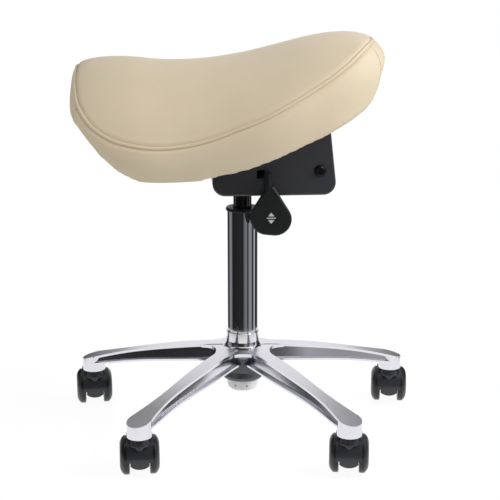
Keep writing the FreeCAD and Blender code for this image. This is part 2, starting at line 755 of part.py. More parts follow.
def pivot_tube():
    """The spacer tube between the cheeks, on which the bracket's ears turn."""
    inner = HOUSING_HALF - HOUSING_SHEET
    return ring(PIVOT_TUBE_RADIUS, PIVOT_BOLT_RADIUS, 2 * inner, Vec(PIVOT_X, -inner, PIVOT_Z), ALONG_Y)


def friction_washers():
    """The friction washers between cheeks and ears."""
    inner = HOUSING_HALF - HOUSING_SHEET
    washers = []
    for side in (-1, 1):
        base = Vec(PIVOT_X, side * inner, PIVOT_Z)
        washers.append(ring(WASHER_RADIUS, PIVOT_TUBE_RADIUS, WASHER_THICKNESS, base, Vec(0, -side, 0)))
    return Part.makeCompound(washers)


def bolt_places():
    """The four seat bolts in plan."""
    return [Vec(BOLT_CENTRE_X + sx * BOLT_SPACING_X / 2, sy * BOLT_SPACING_Y / 2, 0)
            for sx in (-1, 1) for sy in (-1, 1)]


def seat_bracket():
    """The upper bracket: a flanged plate with two ears that come down to the pivot."""
    plate_corners = [
        (PLATE_FRONT, -PLATE_HALF, PLATE_CORNER), (PLATE_REAR, -PLATE_HALF, PLATE_CORNER),
        (PLATE_REAR, PLATE_HALF, PLATE_CORNER), (PLATE_FRONT, PLATE_HALF, PLATE_CORNER)]
    plate = flat_plate(plate_corners, PLATE_UNDER, PLATE_SHEET)
    ear_outer = HOUSING_HALF - HOUSING_SHEET - WASHER_THICKNESS
    ear_corners = [
        (EAR_TOP_FRONT, PLATE_UNDER + TINY, 0), (EAR_TOP_REAR, PLATE_UNDER + TINY, 0),
        (PIVOT_X + EAR_END_RADIUS, PIVOT_Z - EAR_END_RADIUS, EAR_END_RADIUS * 0.98),
        (PIVOT_X - EAR_END_RADIUS, PIVOT_Z - EAR_END_RADIUS, EAR_END_RADIUS * 0.98)]
    pieces = []
    for side in (-1, 1):
        low = ear_outer - EAR_SHEET if side > 0 else -ear_outer
        ear = side_plate(ear_corners, low, EAR_SHEET)
        bore = cylinder(PIVOT_TUBE_RADIUS + RUNNING_FIT, 4 * EAR_SHEET,
            Vec(PIVOT_X, low - EAR_SHEET, PIVOT_Z), ALONG_Y)
        pieces.append(ear.cut(bore))
        flange_low = side * PLATE_HALF - (PLATE_SHEET if side > 0 else 0)
        pieces.append(box(
            Vec(PLATE_FRONT + PLATE_CORNER, flange_low, PLATE_UNDER - PLATE_FLANGE),
            Vec(PLATE_REAR - PLATE_CORNER, flange_low + PLATE_SHEET, PLATE_UNDER + TINY)))
    bracket = fuse(plate, *pieces)
    holes = [cylinder(BOLT_RADIUS, 2 * PLATE_SHEET,
        place.add(Vec(0, 0, PLATE_UNDER - 1))) for place in bolt_places()]
    return bracket.cut(Part.makeCompound(holes))


def pivot_polar(radius, degrees):
    """A point round the pivot: 0 degrees is level towards the front, positive is upward."""
    turn = math.radians(degrees)
    return (PIVOT_X - radius * math.cos(turn), PIVOT_Z + radius * math.sin(turn))


def tooth_angles():
    """The notches' places at rest. A notch below the tongue is reached when the seat tilts back."""
    count = int(round((TILT_FORWARD_DEG + TILT_BACK_DEG) / NOTCH_STEP_DEG)) + 1
    return [-TILT_BACK_DEG + index * NOTCH_STEP_DEG for index in range(count)]


def lock_quadrant():
    """The lock plate: a toothed arc centred on the pivot, hung from the bracket by a broad arm."""
    angles = tooth_angles()
    low = angles[0] - QUADRANT_SPARE_DEG
    high = angles[-1] + QUADRANT_SPARE_DEG
    base_y = QUADRANT_Y - QUADRANT_SHEET / 2
    inner = QUADRANT_OUTER - QUADRANT_NOTCH_DEPTH - QUADRANT_RIM

    def at(radius, degrees):
        x, z = pivot_polar(radius, degrees)
        return Vec(x, base_y, z)

    middle = (low + high) / 2
    edges = [
        Part.Arc(at(QUADRANT_OUTER, low), at(QUADRANT_OUTER, middle), at(QUADRANT_OUTER, high)).toShape(),
        Part.LineSegment(at(QUADRANT_OUTER, high), at(inner, high)).toShape(),
        Part.Arc(at(inner, high), at(inner, middle), at(inner, low)).toShape(),
        Part.LineSegment(at(inner, low), at(QUADRANT_OUTER, low)).toShape()]
    sector = Part.Face(Part.Wire(edges)).extrude(Vec(0, QUADRANT_SHEET, 0))
    front_x, front_z = pivot_polar(QUADRANT_OUTER, high)
    rear_x, rear_z = pivot_polar(inner, high - QUADRANT_SPARE_DEG)
    hanger = side_plate([
        (front_x + 0.5, front_z - 1.0, 0), (rear_x, rear_z, 0),
        (front_x + QUADRANT_ARM_WIDTH, PLATE_UNDER, 0), (front_x + 3.0, PLATE_UNDER, 0)],
        base_y, QUADRANT_SHEET)
    plate = fuse(sector, hanger)
    half = TONGUE_THICKNESS / 2 + TONGUE_FIT
    root = PIVOT_X - QUADRANT_OUTER + QUADRANT_NOTCH_DEPTH
    notches = []
    for angle in angles:
        notch = box(Vec(PIVOT_X - QUADRANT_OUTER - 2, base_y - 1, PIVOT_Z - half),
                    Vec(root, base_y + QUADRANT_SHEET + 1, PIVOT_Z + half))
        notch.rotate(Vec(PIVOT_X, 0, PIVOT_Z), ALONG_Y, angle)
        notches.append(notch)
    return plate.cut(Part.makeCompound(notches))


def lever_room():
    """The passage that lets the lever's rod rock inside the slider."""
    height = lever_height()
    side = LEVER_RADIUS + 0.4
    run = 22.0
    rock = math.tan(math.radians(LEVER_ROCK_DEG)) * run + 0.2
    low = height - LEVER_RADIUS - rock
    high = height + LEVER_RADIUS + rock
    return plan_block(FULCRUM_AT - 14, FULCRUM_AT + run, -side, side, low, high)


def fulcrum_pin(clearance=0.0):
    """The cross pin on which the lever rocks."""
    start = plan_outward().multiply(FULCRUM_AT).sub(plan_across().multiply(SLIDER_HALF))
    start.z = lever_height()
    return cylinder(FULCRUM_PIN_RADIUS + clearance, 2 * SLIDER_HALF, start, plan_across())


def lock_slider():
    """The slider: a block round the lever, with an arm and a flat tongue that enters the lock plate."""
    height = lever_height()
    low = height - SLIDER_BELOW
    half = SLIDER_THICKNESS / 2
    block = plan_block(FULCRUM_AT - half, FULCRUM_AT + half, -SLIDER_HALF, SLIDER_HALF, low,
        height + SLIDER_TOP_ABOVE)
    cheek = -(HOUSING_HALF - HOUSING_SHEET) + 0.5
    arm_low = PIVOT_Z - 5.0
    arm_high = PIVOT_Z + 4.0
    web_front = plan_outward().x * FULCRUM_AT - 2.0
    web = box(Vec(web_front, cheek, arm_low), Vec(web_front + 12.0, cheek + SLIDER_ARM + 5.0, arm_high))
    arm = box(Vec(web_front, cheek, arm_low), Vec(SLIDER_ARM_REAR, cheek + SLIDER_ARM, arm_high))
    tongue_end = QUADRANT_Y - QUADRANT_SHEET / 2 - TONGUE_GAP
    thin = TONGUE_THICKNESS / 2
    tongue = box(Vec(TONGUE_X - TONGUE_LENGTH / 2, cheek + SLIDER_ARM - TINY, PIVOT_Z - thin),
                 Vec(TONGUE_X + TONGUE_LENGTH / 2, tongue_end, PIVOT_Z + thin))
    slider = fuse(block, web, arm, tongue)
    return slider.cut(lever_room()).cut(fulcrum_pin())


def slide_guide():
    """The channel on the pan's floor in which the slider runs."""
    floor = HOUSING_BOTTOM + HOUSING_SHEET
    slider_low = lever_height() - SLIDER_BELOW
    out_low = FULCRUM_AT - GUIDE_RUN - 1.5
    out_high = FULCRUM_AT + SLIDER_THICKNESS / 2 + 1.5
    outer = SLIDER_HALF + RESTING_GAP + GUIDE_LIP
    bed = plan_block(out_low, out_high, -outer, outer, floor, slider_low)
    lips = []
    for side in (-1, 1):
        near = side * (SLIDER_HALF + RESTING_GAP)
        far = side * outer
        lips.append(plan_block(out_low, out_high, min(near, far), max(near, far), floor,
            slider_low + GUIDE_LIP_HEIGHT))
    inner = HOUSING_HALF - HOUSING_SHEET
    inside = box(Vec(-BIG, -inner, 0), Vec(BIG, inner, BIG))
    guide = fuse(bed, *lips).common(inside)
    plate_room = box(
        Vec(PIVOT_X - QUADRANT_OUTER - 2, QUADRANT_Y - QUADRANT_SHEET, 0),
        Vec(BIG, QUADRANT_Y + QUADRANT_SHEET, BIG))
    guide = guide.cut(plate_room)
    return guide.cut(cylinder(TAPER_BUSH_RADIUS + RESTING_GAP, BIG))


def lever_rod():
    """The lever's steel rod: out through the cheek, then bent down into the paddle."""
    height = lever_height()
    outward = plan_outward()
    start = Vec(outward).multiply(LEVER_INNER_END).add(Vec(0, 0, height))
    bend_start = Vec(outward).multiply(LEVER_DROP_AT - LEVER_BEND).add(Vec(0, 0, height))
    drop = Vec(outward).multiply(LEVER_DROP_AT)
    lean = LEVER_BEND * (1 - math.sqrt(0.5))
    bend_mid = Vec(outward).multiply(LEVER_DROP_AT - lean).add(Vec(0, 0, height - lean))
    bend_end = drop.add(Vec(0, 0, height - LEVER_BEND))
    path = Part.Wire([
        Part.LineSegment(start, bend_start).toShape(),
        Part.Arc(bend_start, bend_mid, bend_end).toShape(),
        Part.LineSegment(bend_end, drop.add(Vec(0, 0, LEVER_TIP_Z))).toShape()])
    section = Part.Wire(Part.Circle(start, outward, LEVER_RADIUS).toShape())
    rod = path.makePipeShell([section], True, False)
    return rod.cut(fulcrum_pin(RUNNING_FIT))


def lever_paddle():
    """The moulded paddle: a rounded pick shape with a sleeve round the rod."""
    corners = [
        (*PADDLE_TOP, PADDLE_TOP_ROUND), (*PADDLE_REAR_CORNER, PADDLE_REAR_ROUND),
        (*PADDLE_FRONT_CORNER, PADDLE_FRONT_ROUND)]
    blade = side_plate(corners, PADDLE_FACE_Y, PADDLE_THICKNESS)
    rims = [edge for edge in blade.Edges if abs(edge.CenterOfMass.y - PADDLE_FACE_Y) < TINY]
    blade = blade.makeChamfer(PADDLE_CHAMFER, rims)
    drop = plan_outward().multiply(LEVER_DROP_AT)
    sleeve = cylinder(PADDLE_SLEEVE_RADIUS, PADDLE_SLEEVE_TOP - LEVER_TIP_Z + 2,
        drop.add(Vec(0, 0, LEVER_TIP_Z - 2)))
    collar_start = Vec(plan_outward()).multiply(LEVER_DROP_AT - PADDLE_COLLAR)
    collar_start.z = lever_height()
    collar = cylinder(PADDLE_SLEEVE_RADIUS - 0.2, PADDLE_COLLAR, collar_start, plan_outward())
    bore = lever_rod()
    return fuse(blade, sleeve, collar).cut(bore)


def seat_values(x):
    """Half width, crown, seam, lower edge and hollow of the seat at any place, smoothly through the
    stations."""
    count = len(SEAT_STATIONS)
    index = 0
    while index < count - 2 and x > SEAT_STATIONS[index + 1][0]:
        index += 1
    first, second = SEAT_STATIONS[index], SEAT_STATIONS[index + 1]
    before = SEAT_STATIONS[max(index - 1, 0)]
    after = SEAT_STATIONS[min(index + 2, count - 1)]
    span = second[0] - first[0]
    share = (x - first[0]) / span
    values = []
    for k in range(1, 6):
        start = (second[k] - before[k]) / (second[0] - before[0]) * span
        end = (after[k] - first[k]) / (after[0] - first[0]) * span
        rise = second[k] - first[k]
        bend = share * share * (3 - 2 * share)
        values.append(
            first[k] + rise * bend + start * share * (1 - share) ** 2 - end * share * share * (1 - share))
    return values


def arch_height(across, half, edge, middle):
    """Height at a distance from the centre plane on the arc through the middle and both edges."""
    sag = middle - edge
    radius = (half * half + sag * sag) / (2 * sag)
    return middle - radius + math.sqrt(radius * radius - across * across)


def seat_hollow_at(x, across):
    """Height of the seat's underside at a place in plan."""
    half, crown, seam, low, under = seat_values(x)
    return arch_height(across, half - BAND_DRAWN_IN, low, under)


def seat_places(inset):
    """Places along X and half widths of the seat's outline, drawn in by the given amount."""
    middle = (SEAT_STATIONS[0][0] + SEAT_STATIONS[-1][0]) / 2
    reach = (SEAT_STATIONS[-1][0] - SEAT_STATIONS[0][0]) / 2
    return [(middle + (station[0] - middle) * (reach - inset) / reach, station[1] - inset)
            for station in SEAT_STATIONS]


def arch_edge(x, half, bottom_of, shift):
    """The arc across the seat at x that follows a height function, from -half to half."""
    end = bottom_of(x, half) + shift
    return Part.Arc(Vec(x, -half, end), Vec(x, 0, bottom_of(x, 0.0) + shift),
        Vec(x, half, end)).toShape(), end


def saddle(inset, low_rise=0.0):
    """The saddle's body: crowned top, bulging band and hollow underside, drawn in all round by the inset."""
    wires = []
    for x, across in seat_places(inset):
        half, crown, seam, low, under = seat_values(x)
        shoulder = seam - inset * 0.5
        lower_across = across - BAND_DRAWN_IN
        arc, foot = arch_edge(x, lower_across, seat_hollow_at, low_rise)
        middle = (shoulder + foot) / 2
        left, right = Vec(x, -across, shoulder), Vec(x, across, shoulder)
        low_left, low_right = Vec(x, -lower_across, foot), Vec(x, lower_across, foot)
        wires.append(Part.Wire([
            Part.Arc(left, Vec(x, 0, crown - inset), right).toShape(),
            Part.Arc(right, Vec(x, across + BAND_BULGE, middle), low_right).toShape(),
            arc,
            Part.Arc(low_left, Vec(x, -across - BAND_BULGE, middle), left).toShape()]))
    return Part.makeLoft(wires, True, False)


def arched_sheet(places, low_shift, high_shift):
    """A sheet that follows the seat's underside between two shifts, over the given places and half widths."""
    wires = []
    for x, half in places:
        upper, high = arch_edge(x, half, seat_hollow_at, high_shift)
        lower, low = arch_edge(x, half, seat_hollow_at, low_shift)
        wires.append(Part.Wire([
            upper,
            Part.LineSegment(Vec(x, half, high), Vec(x, half, low)).toShape(),
            lower,
            Part.LineSegment(Vec(x, -half, low), Vec(x, -half, high)).toShape()]))
    return Part.makeLoft(wires, True, False)


def above_seam():
    """Everything above the seam line: what the top panel covers."""
    wires = []
    ends = (SEAT_STATIONS[0][0], SEAT_STATIONS[-1][0])
    for x, half, crown, seam, low, under in SEAT_STATIONS:
        place = x + (SEAM_OVERRUN if x == ends[1] else -SEAM_OVERRUN if x == ends[0] else 0.0)
        across = half + 2 * BAND_BULGE
        corners = [Vec(place, -across, seam), Vec(place, across, seam),
                   Vec(place, across, crown + 60), Vec(place, -across, crown + 60)]
        wires.append(Part.makePolygon(corners + corners[:1]))
    return Part.makeLoft(wires, True, False)


def bolt_floor(place):
    """Height of the seat's underside over a bolt."""
    return seat_hollow_at(place.x, place.y)


def tee_nuts():
    """The threaded inserts in the seat board."""
    nuts = []
    for place in bolt_places():
        low = bolt_floor(place) - TEE_NUT_BELOW
        top = bolt_floor(place) + BOARD_THICKNESS + RESTING_GAP
        barrel = ring(TEE_NUT_RADIUS, BOLT_RADIUS, top - low, place.add(Vec(0, 0, low)))
        flange = ring(TEE_NUT_FLANGE_RADIUS, BOLT_RADIUS, TEE_NUT_FLANGE, place.add(Vec(0, 0, top)))
        nuts.append(fuse(barrel, flange))
    return Part.makeCompound(nuts)


def seat_bolts():
    """The four bolts that hold the bracket to the seat board."""
    bolts = []
    for place in bolt_places():
        top = bolt_floor(place) + BOARD_THICKNESS + TEE_NUT_FLANGE
        head = cylinder(BOLT_HEAD_RADIUS, BOLT_HEAD, place.add(Vec(0, 0, PLATE_UNDER - BOLT_HEAD)))
        shank = cylinder(BOLT_RADIUS, top - PLATE_UNDER, place.add(Vec(0, 0, PLATE_UNDER)))
        bolts.append(fuse(head, shank))
    return Part.makeCompound(bolts)


def bolt_room():
    """The holes that bolts and inserts need in the board, riser and foam."""
    rooms = []
    for place in bolt_places():
        floor = bolt_floor(place)
        top = floor + BOARD_THICKNESS + RESTING_GAP
        rooms.append(cylinder(BOLT_RADIUS, floor - PLATE_UNDER, place.add(Vec(0, 0, PLATE_UNDER))))
        rooms.append(cylinder(TEE_NUT_RADIUS, top + 1.0 - floor + TEE_NUT_BELOW,
            place.add(Vec(0, 0, floor - TEE_NUT_BELOW))))
        rooms.append(cylinder(TEE_NUT_FLANGE_RADIUS, TEE_NUT_FLANGE, place.add(Vec(0, 0, top))))
    return rooms


def biggest(shape):
    """The largest solid of a result."""
    return max(shape.Solids, key=lambda solid: solid.Volume)


def without(shape, tools):
    """A shape less several tools, one after another."""
    for tool in tools:
        shape = shape.cut(tool)
    return shape


def seat_riser():
    """The timber block between the bracket and the arched board."""
    plate_top = PLATE_UNDER + PLATE_SHEET
    wires = []
    steps = 6
    for step in range(steps + 1):
        x = RISER_FRONT + (RISER_REAR - RISER_FRONT) * step / steps
        upper, high = arch_edge(x, RISER_HALF, seat_hollow_at, -SEAT_GAP)
        wires.append(Part.Wire([
            upper,
            Part.LineSegment(Vec(x, RISER_HALF, high), Vec(x, RISER_HALF, plate_top)).toShape(),
            Part.LineSegment(Vec(x, RISER_HALF, plate_top), Vec(x, -RISER_HALF, plate_top)).toShape(),
            Part.LineSegment(Vec(x, -RISER_HALF, plate_top), Vec(x, -RISER_HALF, high)).toShape()]))
    return biggest(without(Part.makeLoft(wires, True, False), bolt_room()))


def seat_pieces():
    """The seat's own pieces: cover panels, foam, board, riser and underside cover."""
    rooms = bolt_room()
    board_room = arched_sheet(seat_places(BOARD_INSET - SEAT_GAP), -BOARD_THICKNESS,
        BOARD_THICKNESS + SEAT_GAP)
    board = arched_sheet(seat_places(BOARD_INSET), 0.0, BOARD_THICKNESS)
    cover = arched_sheet(seat_places(UNDER_COVER_INSET), -UNDER_COVER_THICKNESS - SEAT_GAP, -SEAT_GAP)
    riser_hole = box(Vec(RISER_FRONT - RESTING_GAP, -RISER_HALF - RESTING_GAP, 0),
                     Vec(RISER_REAR + RESTING_GAP, RISER_HALF + RESTING_GAP, BIG))
    foam = saddle(COVER_THICKNESS + SEAT_GAP, COVER_THICKNESS + SEAT_GAP).cut(board_room)
    foam = foam.cut(box(Vec(-BIG, -BIG, 0), Vec(FOAM_FRONT, BIG, BIG)))
    skin = saddle(0.0).cut(saddle(COVER_THICKNESS, COVER_THICKNESS)).cut(board_room)
    region = above_seam()
    return {
        "seat_top_panel": biggest(skin.common(region)),
        "seat_side_band": biggest(skin.cut(region)),
        "seat_foam": biggest(without(foam, rooms)),
        "seat_board": biggest(without(board, rooms)),
        "seat_riser": seat_riser(),
        "seat_under_cover": cover.cut(riser_hole),
        "seat_bolts": seat_bolts(),
        "seat_tee_nuts": tee_nuts(),
    }


def sector_plate(outer, inner, start_deg, end_deg, half_width):
    """A curved plate round the axle. Angles run from the rear, over the top, to the front."""

    def at(radius, degrees):
        turn = math.radians(degrees)
        return Vec(-half_width, CASTER_TRAIL + radius * math.cos(turn),
            WHEEL_RADIUS + radius * math.sin(turn))

    middle = (start_deg + end_deg) / 2
    edges = [
        Part.Arc(at(outer, start_deg), at(outer, middle), at(outer, end_deg)).toShape(),
        Part.LineSegment(at(outer, end_deg), at(inner, end_deg)).toShape(),
        Part.Arc(at(inner, end_deg), at(inner, middle), at(inner, start_deg)).toShape(),
        Part.LineSegment(at(inner, start_deg), at(outer, start_deg)).toShape()]
    return Part.Face(Part.Wire(edges)).extrude(Vec(2 * half_width, 0, 0))


def caster_hood():
    """The hood of one caster at the origin: mudguard, apron, centre web and swivel boss."""
    inner = WHEEL_RADIUS + HOOD_GAP
    outer = inner + HOOD_WALL
    guard = sector_plate(outer, inner, HOOD_REAR_DEG, HOOD_SIDE_DEG, HOOD_HALF_WIDTH)
    apron = sector_plate(outer, inner, HOOD_SIDE_DEG - 40, HOOD_APRON_DEG, HOOD_APRON_HALF_WIDTH)
    round_height = HOOD_APRON_LOW + HOOD_APRON_ROUND
    round_end = cylinder(HOOD_APRON_ROUND, 2 * BIG, Vec(0, -BIG, round_height), ALONG_Y)
    apron = apron.common(fuse(round_end, box(Vec(-BIG, -BIG, round_height), Vec(BIG, BIG, BIG))))
    web = cylinder(inner + HOOD_WALL / 2, 2 * HOOD_WEB_HALF,
        Vec(-HOOD_WEB_HALF, CASTER_TRAIL, WHEEL_RADIUS), ALONG_X)
    web = web.cut(box(Vec(-BIG, -BIG, -BIG), Vec(BIG, BIG, HOOD_WEB_FLOOR_GAP)))
    boss_top = SOCKET_BOTTOM - HOOD_BOSS_DROP
    boss_low = WHEEL_RADIUS + WHEEL_HUB_RADIUS + 3.0
    root = WHEEL_RADIUS + math.sqrt(outer * outer - CASTER_TRAIL * CASTER_TRAIL)
    boss = turned([
        (0, boss_low), (WHEEL_TREAD_INNER - 6.5, boss_low), (WHEEL_TREAD_INNER - 6.5, root - HOOD_WALL),
        (HOOD_BOSS_ROOT_RADIUS, root - HOOD_WALL), (HOOD_BOSS_ROOT_RADIUS, root - 1.0),
        (HOOD_BOSS_RADIUS, boss_top - 1.0), (HOOD_BOSS_RADIUS - 1.0, boss_top), (0, boss_top)])
    clear = cylinder(inner, 2 * HOOD_HALF_WIDTH, Vec(-HOOD_HALF_WIDTH, CASTER_TRAIL, WHEEL_RADIUS), ALONG_X)
    reach = WHEEL_TREAD_INNER - 6.5
    keep = box(Vec(-reach, -BIG, -BIG), Vec(reach, BIG, BIG))
    boss = boss.cut(clear.cut(keep))
    hood = fuse(guard, apron, web, boss)
    stem_room = cylinder(STEM_RADIUS + RUNNING_FIT, BIG, Vec(0, 0, SOCKET_BOTTOM - STEM_BELOW - RESTING_GAP))
    axle_hole = cylinder(AXLE_RADIUS, 2 * AXLE_HALF, Vec(-AXLE_HALF, CASTER_TRAIL, WHEEL_RADIUS), ALONG_X)
    return hood.cut(stem_room).cut(axle_hole)


def caster_stem():
    """The steel stem: it stands in the socket, and the hood turns on its lower end."""
    low = SOCKET_BOTTOM - STEM_BELOW
    return turned([
        (0, low), (STEM_RADIUS - 0.8, low), (STEM_RADIUS, low + 0.8),
        (STEM_RADIUS, SOCKET_BOTTOM - STEM_FLANGE),
        (STEM_FLANGE_RADIUS, SOCKET_BOTTOM - STEM_FLANGE), (STEM_FLANGE_RADIUS, SOCKET_BOTTOM),
        (STEM_RADIUS, SOCKET_BOTTOM), (STEM_RADIUS, SOCKET_BOTTOM + STEM_ABOVE - 0.8),
        (STEM_RADIUS - 0.8, SOCKET_BOTTOM + STEM_ABOVE), (0, SOCKET_BOTTOM + STEM_ABOVE)])


def caster_axle():
    """The axle across one caster."""
    return cylinder(AXLE_RADIUS, 2 * AXLE_HALF, Vec(-AXLE_HALF, CASTER_TRAIL, WHEEL_RADIUS), ALONG_X)


def caster_wheel(side):
    """One wheel: a round tread and a domed outer face with a flat middle, on a short hub."""
    bore = AXLE_RADIUS + RUNNING_FIT
    dome_depth = WHEEL_OVERALL_HALF - WHEEL_TREAD_OUTER
    corners = [
        Vec(bore, 0, WHEEL_HUB_HALF), Vec(WHEEL_HUB_RADIUS, 0, WHEEL_HUB_HALF),
        Vec(WHEEL_HUB_RADIUS, 0, WHEEL_TREAD_INNER), Vec(WHEEL_RADIUS - WHEEL_EDGE, 0, WHEEL_TREAD_INNER),
        Vec(WHEEL_RADIUS, 0, WHEEL_TREAD_INNER + WHEEL_EDGE), Vec(WHEEL_RADIUS, 0, WHEEL_TREAD_OUTER)]
    edges = [Part.LineSegment(a, b).toShape() for a, b in zip(corners, corners[1:])]
    dome_mid = Vec(WHEEL_RADIUS * 0.86, 0, WHEEL_TREAD_OUTER + dome_depth * 0.6)
    dome_end = Vec(WHEEL_RADIUS * 0.60, 0, WHEEL_OVERALL_HALF)
    edges.append(Part.Arc(corners[-1], dome_mid, dome_end).toShape())
    blind = AXLE_HALF + 1.0
    rest = [dome_end, Vec(0, 0, WHEEL_OVERALL_HALF), Vec(0, 0, blind), Vec(bore, 0, blind), corners[0]]
    edges += [Part.LineSegment(a, b).toShape() for a, b in zip(rest, rest[1:])]
    wheel = Part.Face(Part.Wire(edges)).revolve(ORIGIN, UP, 360)
    wheel.rotate(ORIGIN, ALONG_Y, 90 * side)
    wheel.translate(Vec(0, CASTER_TRAIL, WHEEL_RADIUS))
    return wheel


def placed_caster(shape, place, heading):
    """A caster piece turned to its heading and set under a socket."""
    copy = shape.copy()
    copy.rotate(ORIGIN, UP, heading - 90.0)
    copy.translate(place)
    return copy


def main():
    """Builds and writes every piece."""
    single = {
        "base_star": base_star(),
        "stem_sleeves": stem_sleeves(),
        "column_tube": column_tube(),
        "column_guide": column_guide(),
        "thrust_bearing": thrust_bearing(),
        "base_cap": base_cap(),
        "piston_rod": piston_rod(),
        "piston_head": piston_head(),
        "rod_clip": rod_clip(),
        "rod_buffer": rod_buffer(),
        "lift_cylinder": lift_cylinder(),
        "lift_gland": lift_gland(),
        "release_pin": release_pin(),
        "tilt_housing": tilt_housing(),
        "taper_bush": taper_bush(),
        "slide_guide": slide_guide(),
        "pivot_bushes": pivot_bushes(),
        "pivot_bolt": pivot_bolt(),
        "pivot_nut": pivot_nut(),
        "pivot_tube": pivot_tube(),
        "friction_washers": friction_washers(),
        "lock_slider": lock_slider(),
        "fulcrum_pin": fulcrum_pin(),
        "lever_rod": lever_rod(),
        "lever_paddle": lever_paddle(),
        "seat_bracket": seat_bracket(),
        "lock_quadrant": lock_quadrant(),
    }
    single.update(seat_pieces())
    for name, shape in single.items():
        save(name, shape)
    caster = {
        "caster_stem": caster_stem(),
        "caster_hood": caster_hood(),
        "caster_axle": caster_axle(),
        "wheel_left": caster_wheel(-1),
        "wheel_right": caster_wheel(1),
    }
    for index, (place, heading) in enumerate(zip(socket_places(), CASTER_HEADINGS_DEG), start=1):
        for name, shape in caster.items():
            save("%s_%d" % (name, index), placed_caster(shape, place, heading))


main()
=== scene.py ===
"""Saddle stool: the saddle, tilt housing, column, star base and casters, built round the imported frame."""

import math

import bmesh
import bpy
import numpy as np
from bpy.props import FloatProperty, FloatVectorProperty, PointerProperty
from bpy.types import Operator, Panel, PropertyGroup
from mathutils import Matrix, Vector


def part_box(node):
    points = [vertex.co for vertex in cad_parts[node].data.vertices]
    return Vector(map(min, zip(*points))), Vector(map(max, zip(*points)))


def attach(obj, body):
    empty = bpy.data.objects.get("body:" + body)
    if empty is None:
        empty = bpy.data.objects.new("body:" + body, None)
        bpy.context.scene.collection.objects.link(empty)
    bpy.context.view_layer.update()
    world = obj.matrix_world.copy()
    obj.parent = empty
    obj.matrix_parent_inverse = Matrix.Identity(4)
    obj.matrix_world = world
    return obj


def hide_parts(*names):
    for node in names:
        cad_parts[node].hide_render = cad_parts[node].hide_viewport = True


bl_info = {
    "name": "Saddle Stool Looks",
    "version": (1, 0, 0),
    "blender": (4, 5, 0),
    "location": "3D View > Sidebar > Saddle Stool",
    "description": "Builds the pieces of a saddle stool on its packed frame",
    "category": "Add Mesh",
}

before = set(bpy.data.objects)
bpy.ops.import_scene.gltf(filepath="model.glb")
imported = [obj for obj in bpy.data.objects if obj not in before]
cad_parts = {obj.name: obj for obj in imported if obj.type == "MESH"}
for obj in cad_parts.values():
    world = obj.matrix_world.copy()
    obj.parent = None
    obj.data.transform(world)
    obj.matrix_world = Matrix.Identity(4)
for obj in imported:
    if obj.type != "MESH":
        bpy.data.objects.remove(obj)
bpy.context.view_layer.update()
MM = 0.001
CASTERS = (1, 2, 3, 4, 5)

# Places of the camera and lamps in metres, the camera's direction and its lens in millimetres
CAMERA_PLACE = (-0.13535, -1.99409, 0.81854)
CAMERA_DIRECTION = (0.07147337, 0.96539335, -0.25081314)
CAMERA_LENS = 91.12
KEY_PLACE, KEY_TARGET, KEY_SIZE = (1.7, -0.5, 1.6), (0, 0, 0.45), 1.4
FILL_PLACE, FILL_TARGET, FILL_SIZE = (-1.9, -1.3, 1.2), (0, 0, 0.35), 1.6

# Saddle stations: place along X, half width, crown, seam, lower edge and hollow, in millimetres
STATIONS = np.array((
    (-270, 112, 583, 566, 553, 573), (-266, 138, 598, 557, 525, 561), (-256, 160, 607, 541, 497, 555),
    (-232, 177, 613, 521, 473, 553), (-190, 186, 615.5, 505, 456, 553), (-124, 189, 610, 499, 449.5, 552),
    (-60, 187, 611.5, 511, 455, 552), (0, 181, 620, 535, 469, 553), (60, 169, 633, 562, 491, 555),
    (110, 151, 645, 587, 509, 558), (152, 128, 651, 612, 530, 562), (186, 99, 650, 634, 552, 567),
    (208, 72, 642, 638, 567, 572), (221, 46, 624, 622, 583, 584)), dtype=float)
# Plan outline of the seam on one side, from the front's middle to the rear's middle, in millimetres
SEAM_PLAN = np.array((
    (-260, 0), (-260, 40), (-259.5, 80), (-257, 112), (-250, 140), (-236, 161), (-214, 175), (-184, 182),
    (-145, 185), (-105, 185), (-65, 184), (-25, 181), (15, 177.5), (50, 170), (80, 160), (105, 149),
    (128, 137),
    (148, 123), (166, 106), (181, 86), (192, 64), (200, 40), (204, 19), (205, 0)), dtype=float)

# Height of the band's lower edge by place along X, in millimetres
LOWER_EDGE = np.array((
    (-252, 536), (-246, 525), (-232, 503), (-218, 485), (-204, 472), (-190, 463), (-176, 457), (-161, 452.5),
    (-133, 450), (-104, 451), (-74, 454.5), (-16, 465), (25, 477), (52, 487), (79, 497), (105, 507.5),
    (142, 525),
    (166, 538), (190, 555), (205, 571)), dtype=float)
SADDLE_CENTRE = np.array((-30.0, 0.0))
# Cloth filling of the saddle: grid and fullness in metres, pressure and frames
VOXEL, FULLNESS, CLOTH_PRESSURE, CLOTH_FRAMES = 0.005, 0.004, 4.0, 20
# Height of the mark's middle above the paddle's foot, in metres
MARK_HEIGHT = 0.029


def srgb(red, green, blue):
    """A colour given in 0-255 display values, as the linear colour that shaders take."""
    scaled = np.array((red, green, blue), dtype=float) / 255.0
    linear = np.where(scaled <= 0.04045, scaled / 12.92, ((scaled + 0.055) / 1.055) ** 2.4)
    return tuple(float(value) for value in linear) + (1.0,)


# Sizes and colours


def color_setting(name, description, color):
    """A colour property whose default is given in display values."""
    return FloatVectorProperty(
        name=name, description=description, subtype="COLOR", size=4, min=0, max=1, default=srgb(*color))


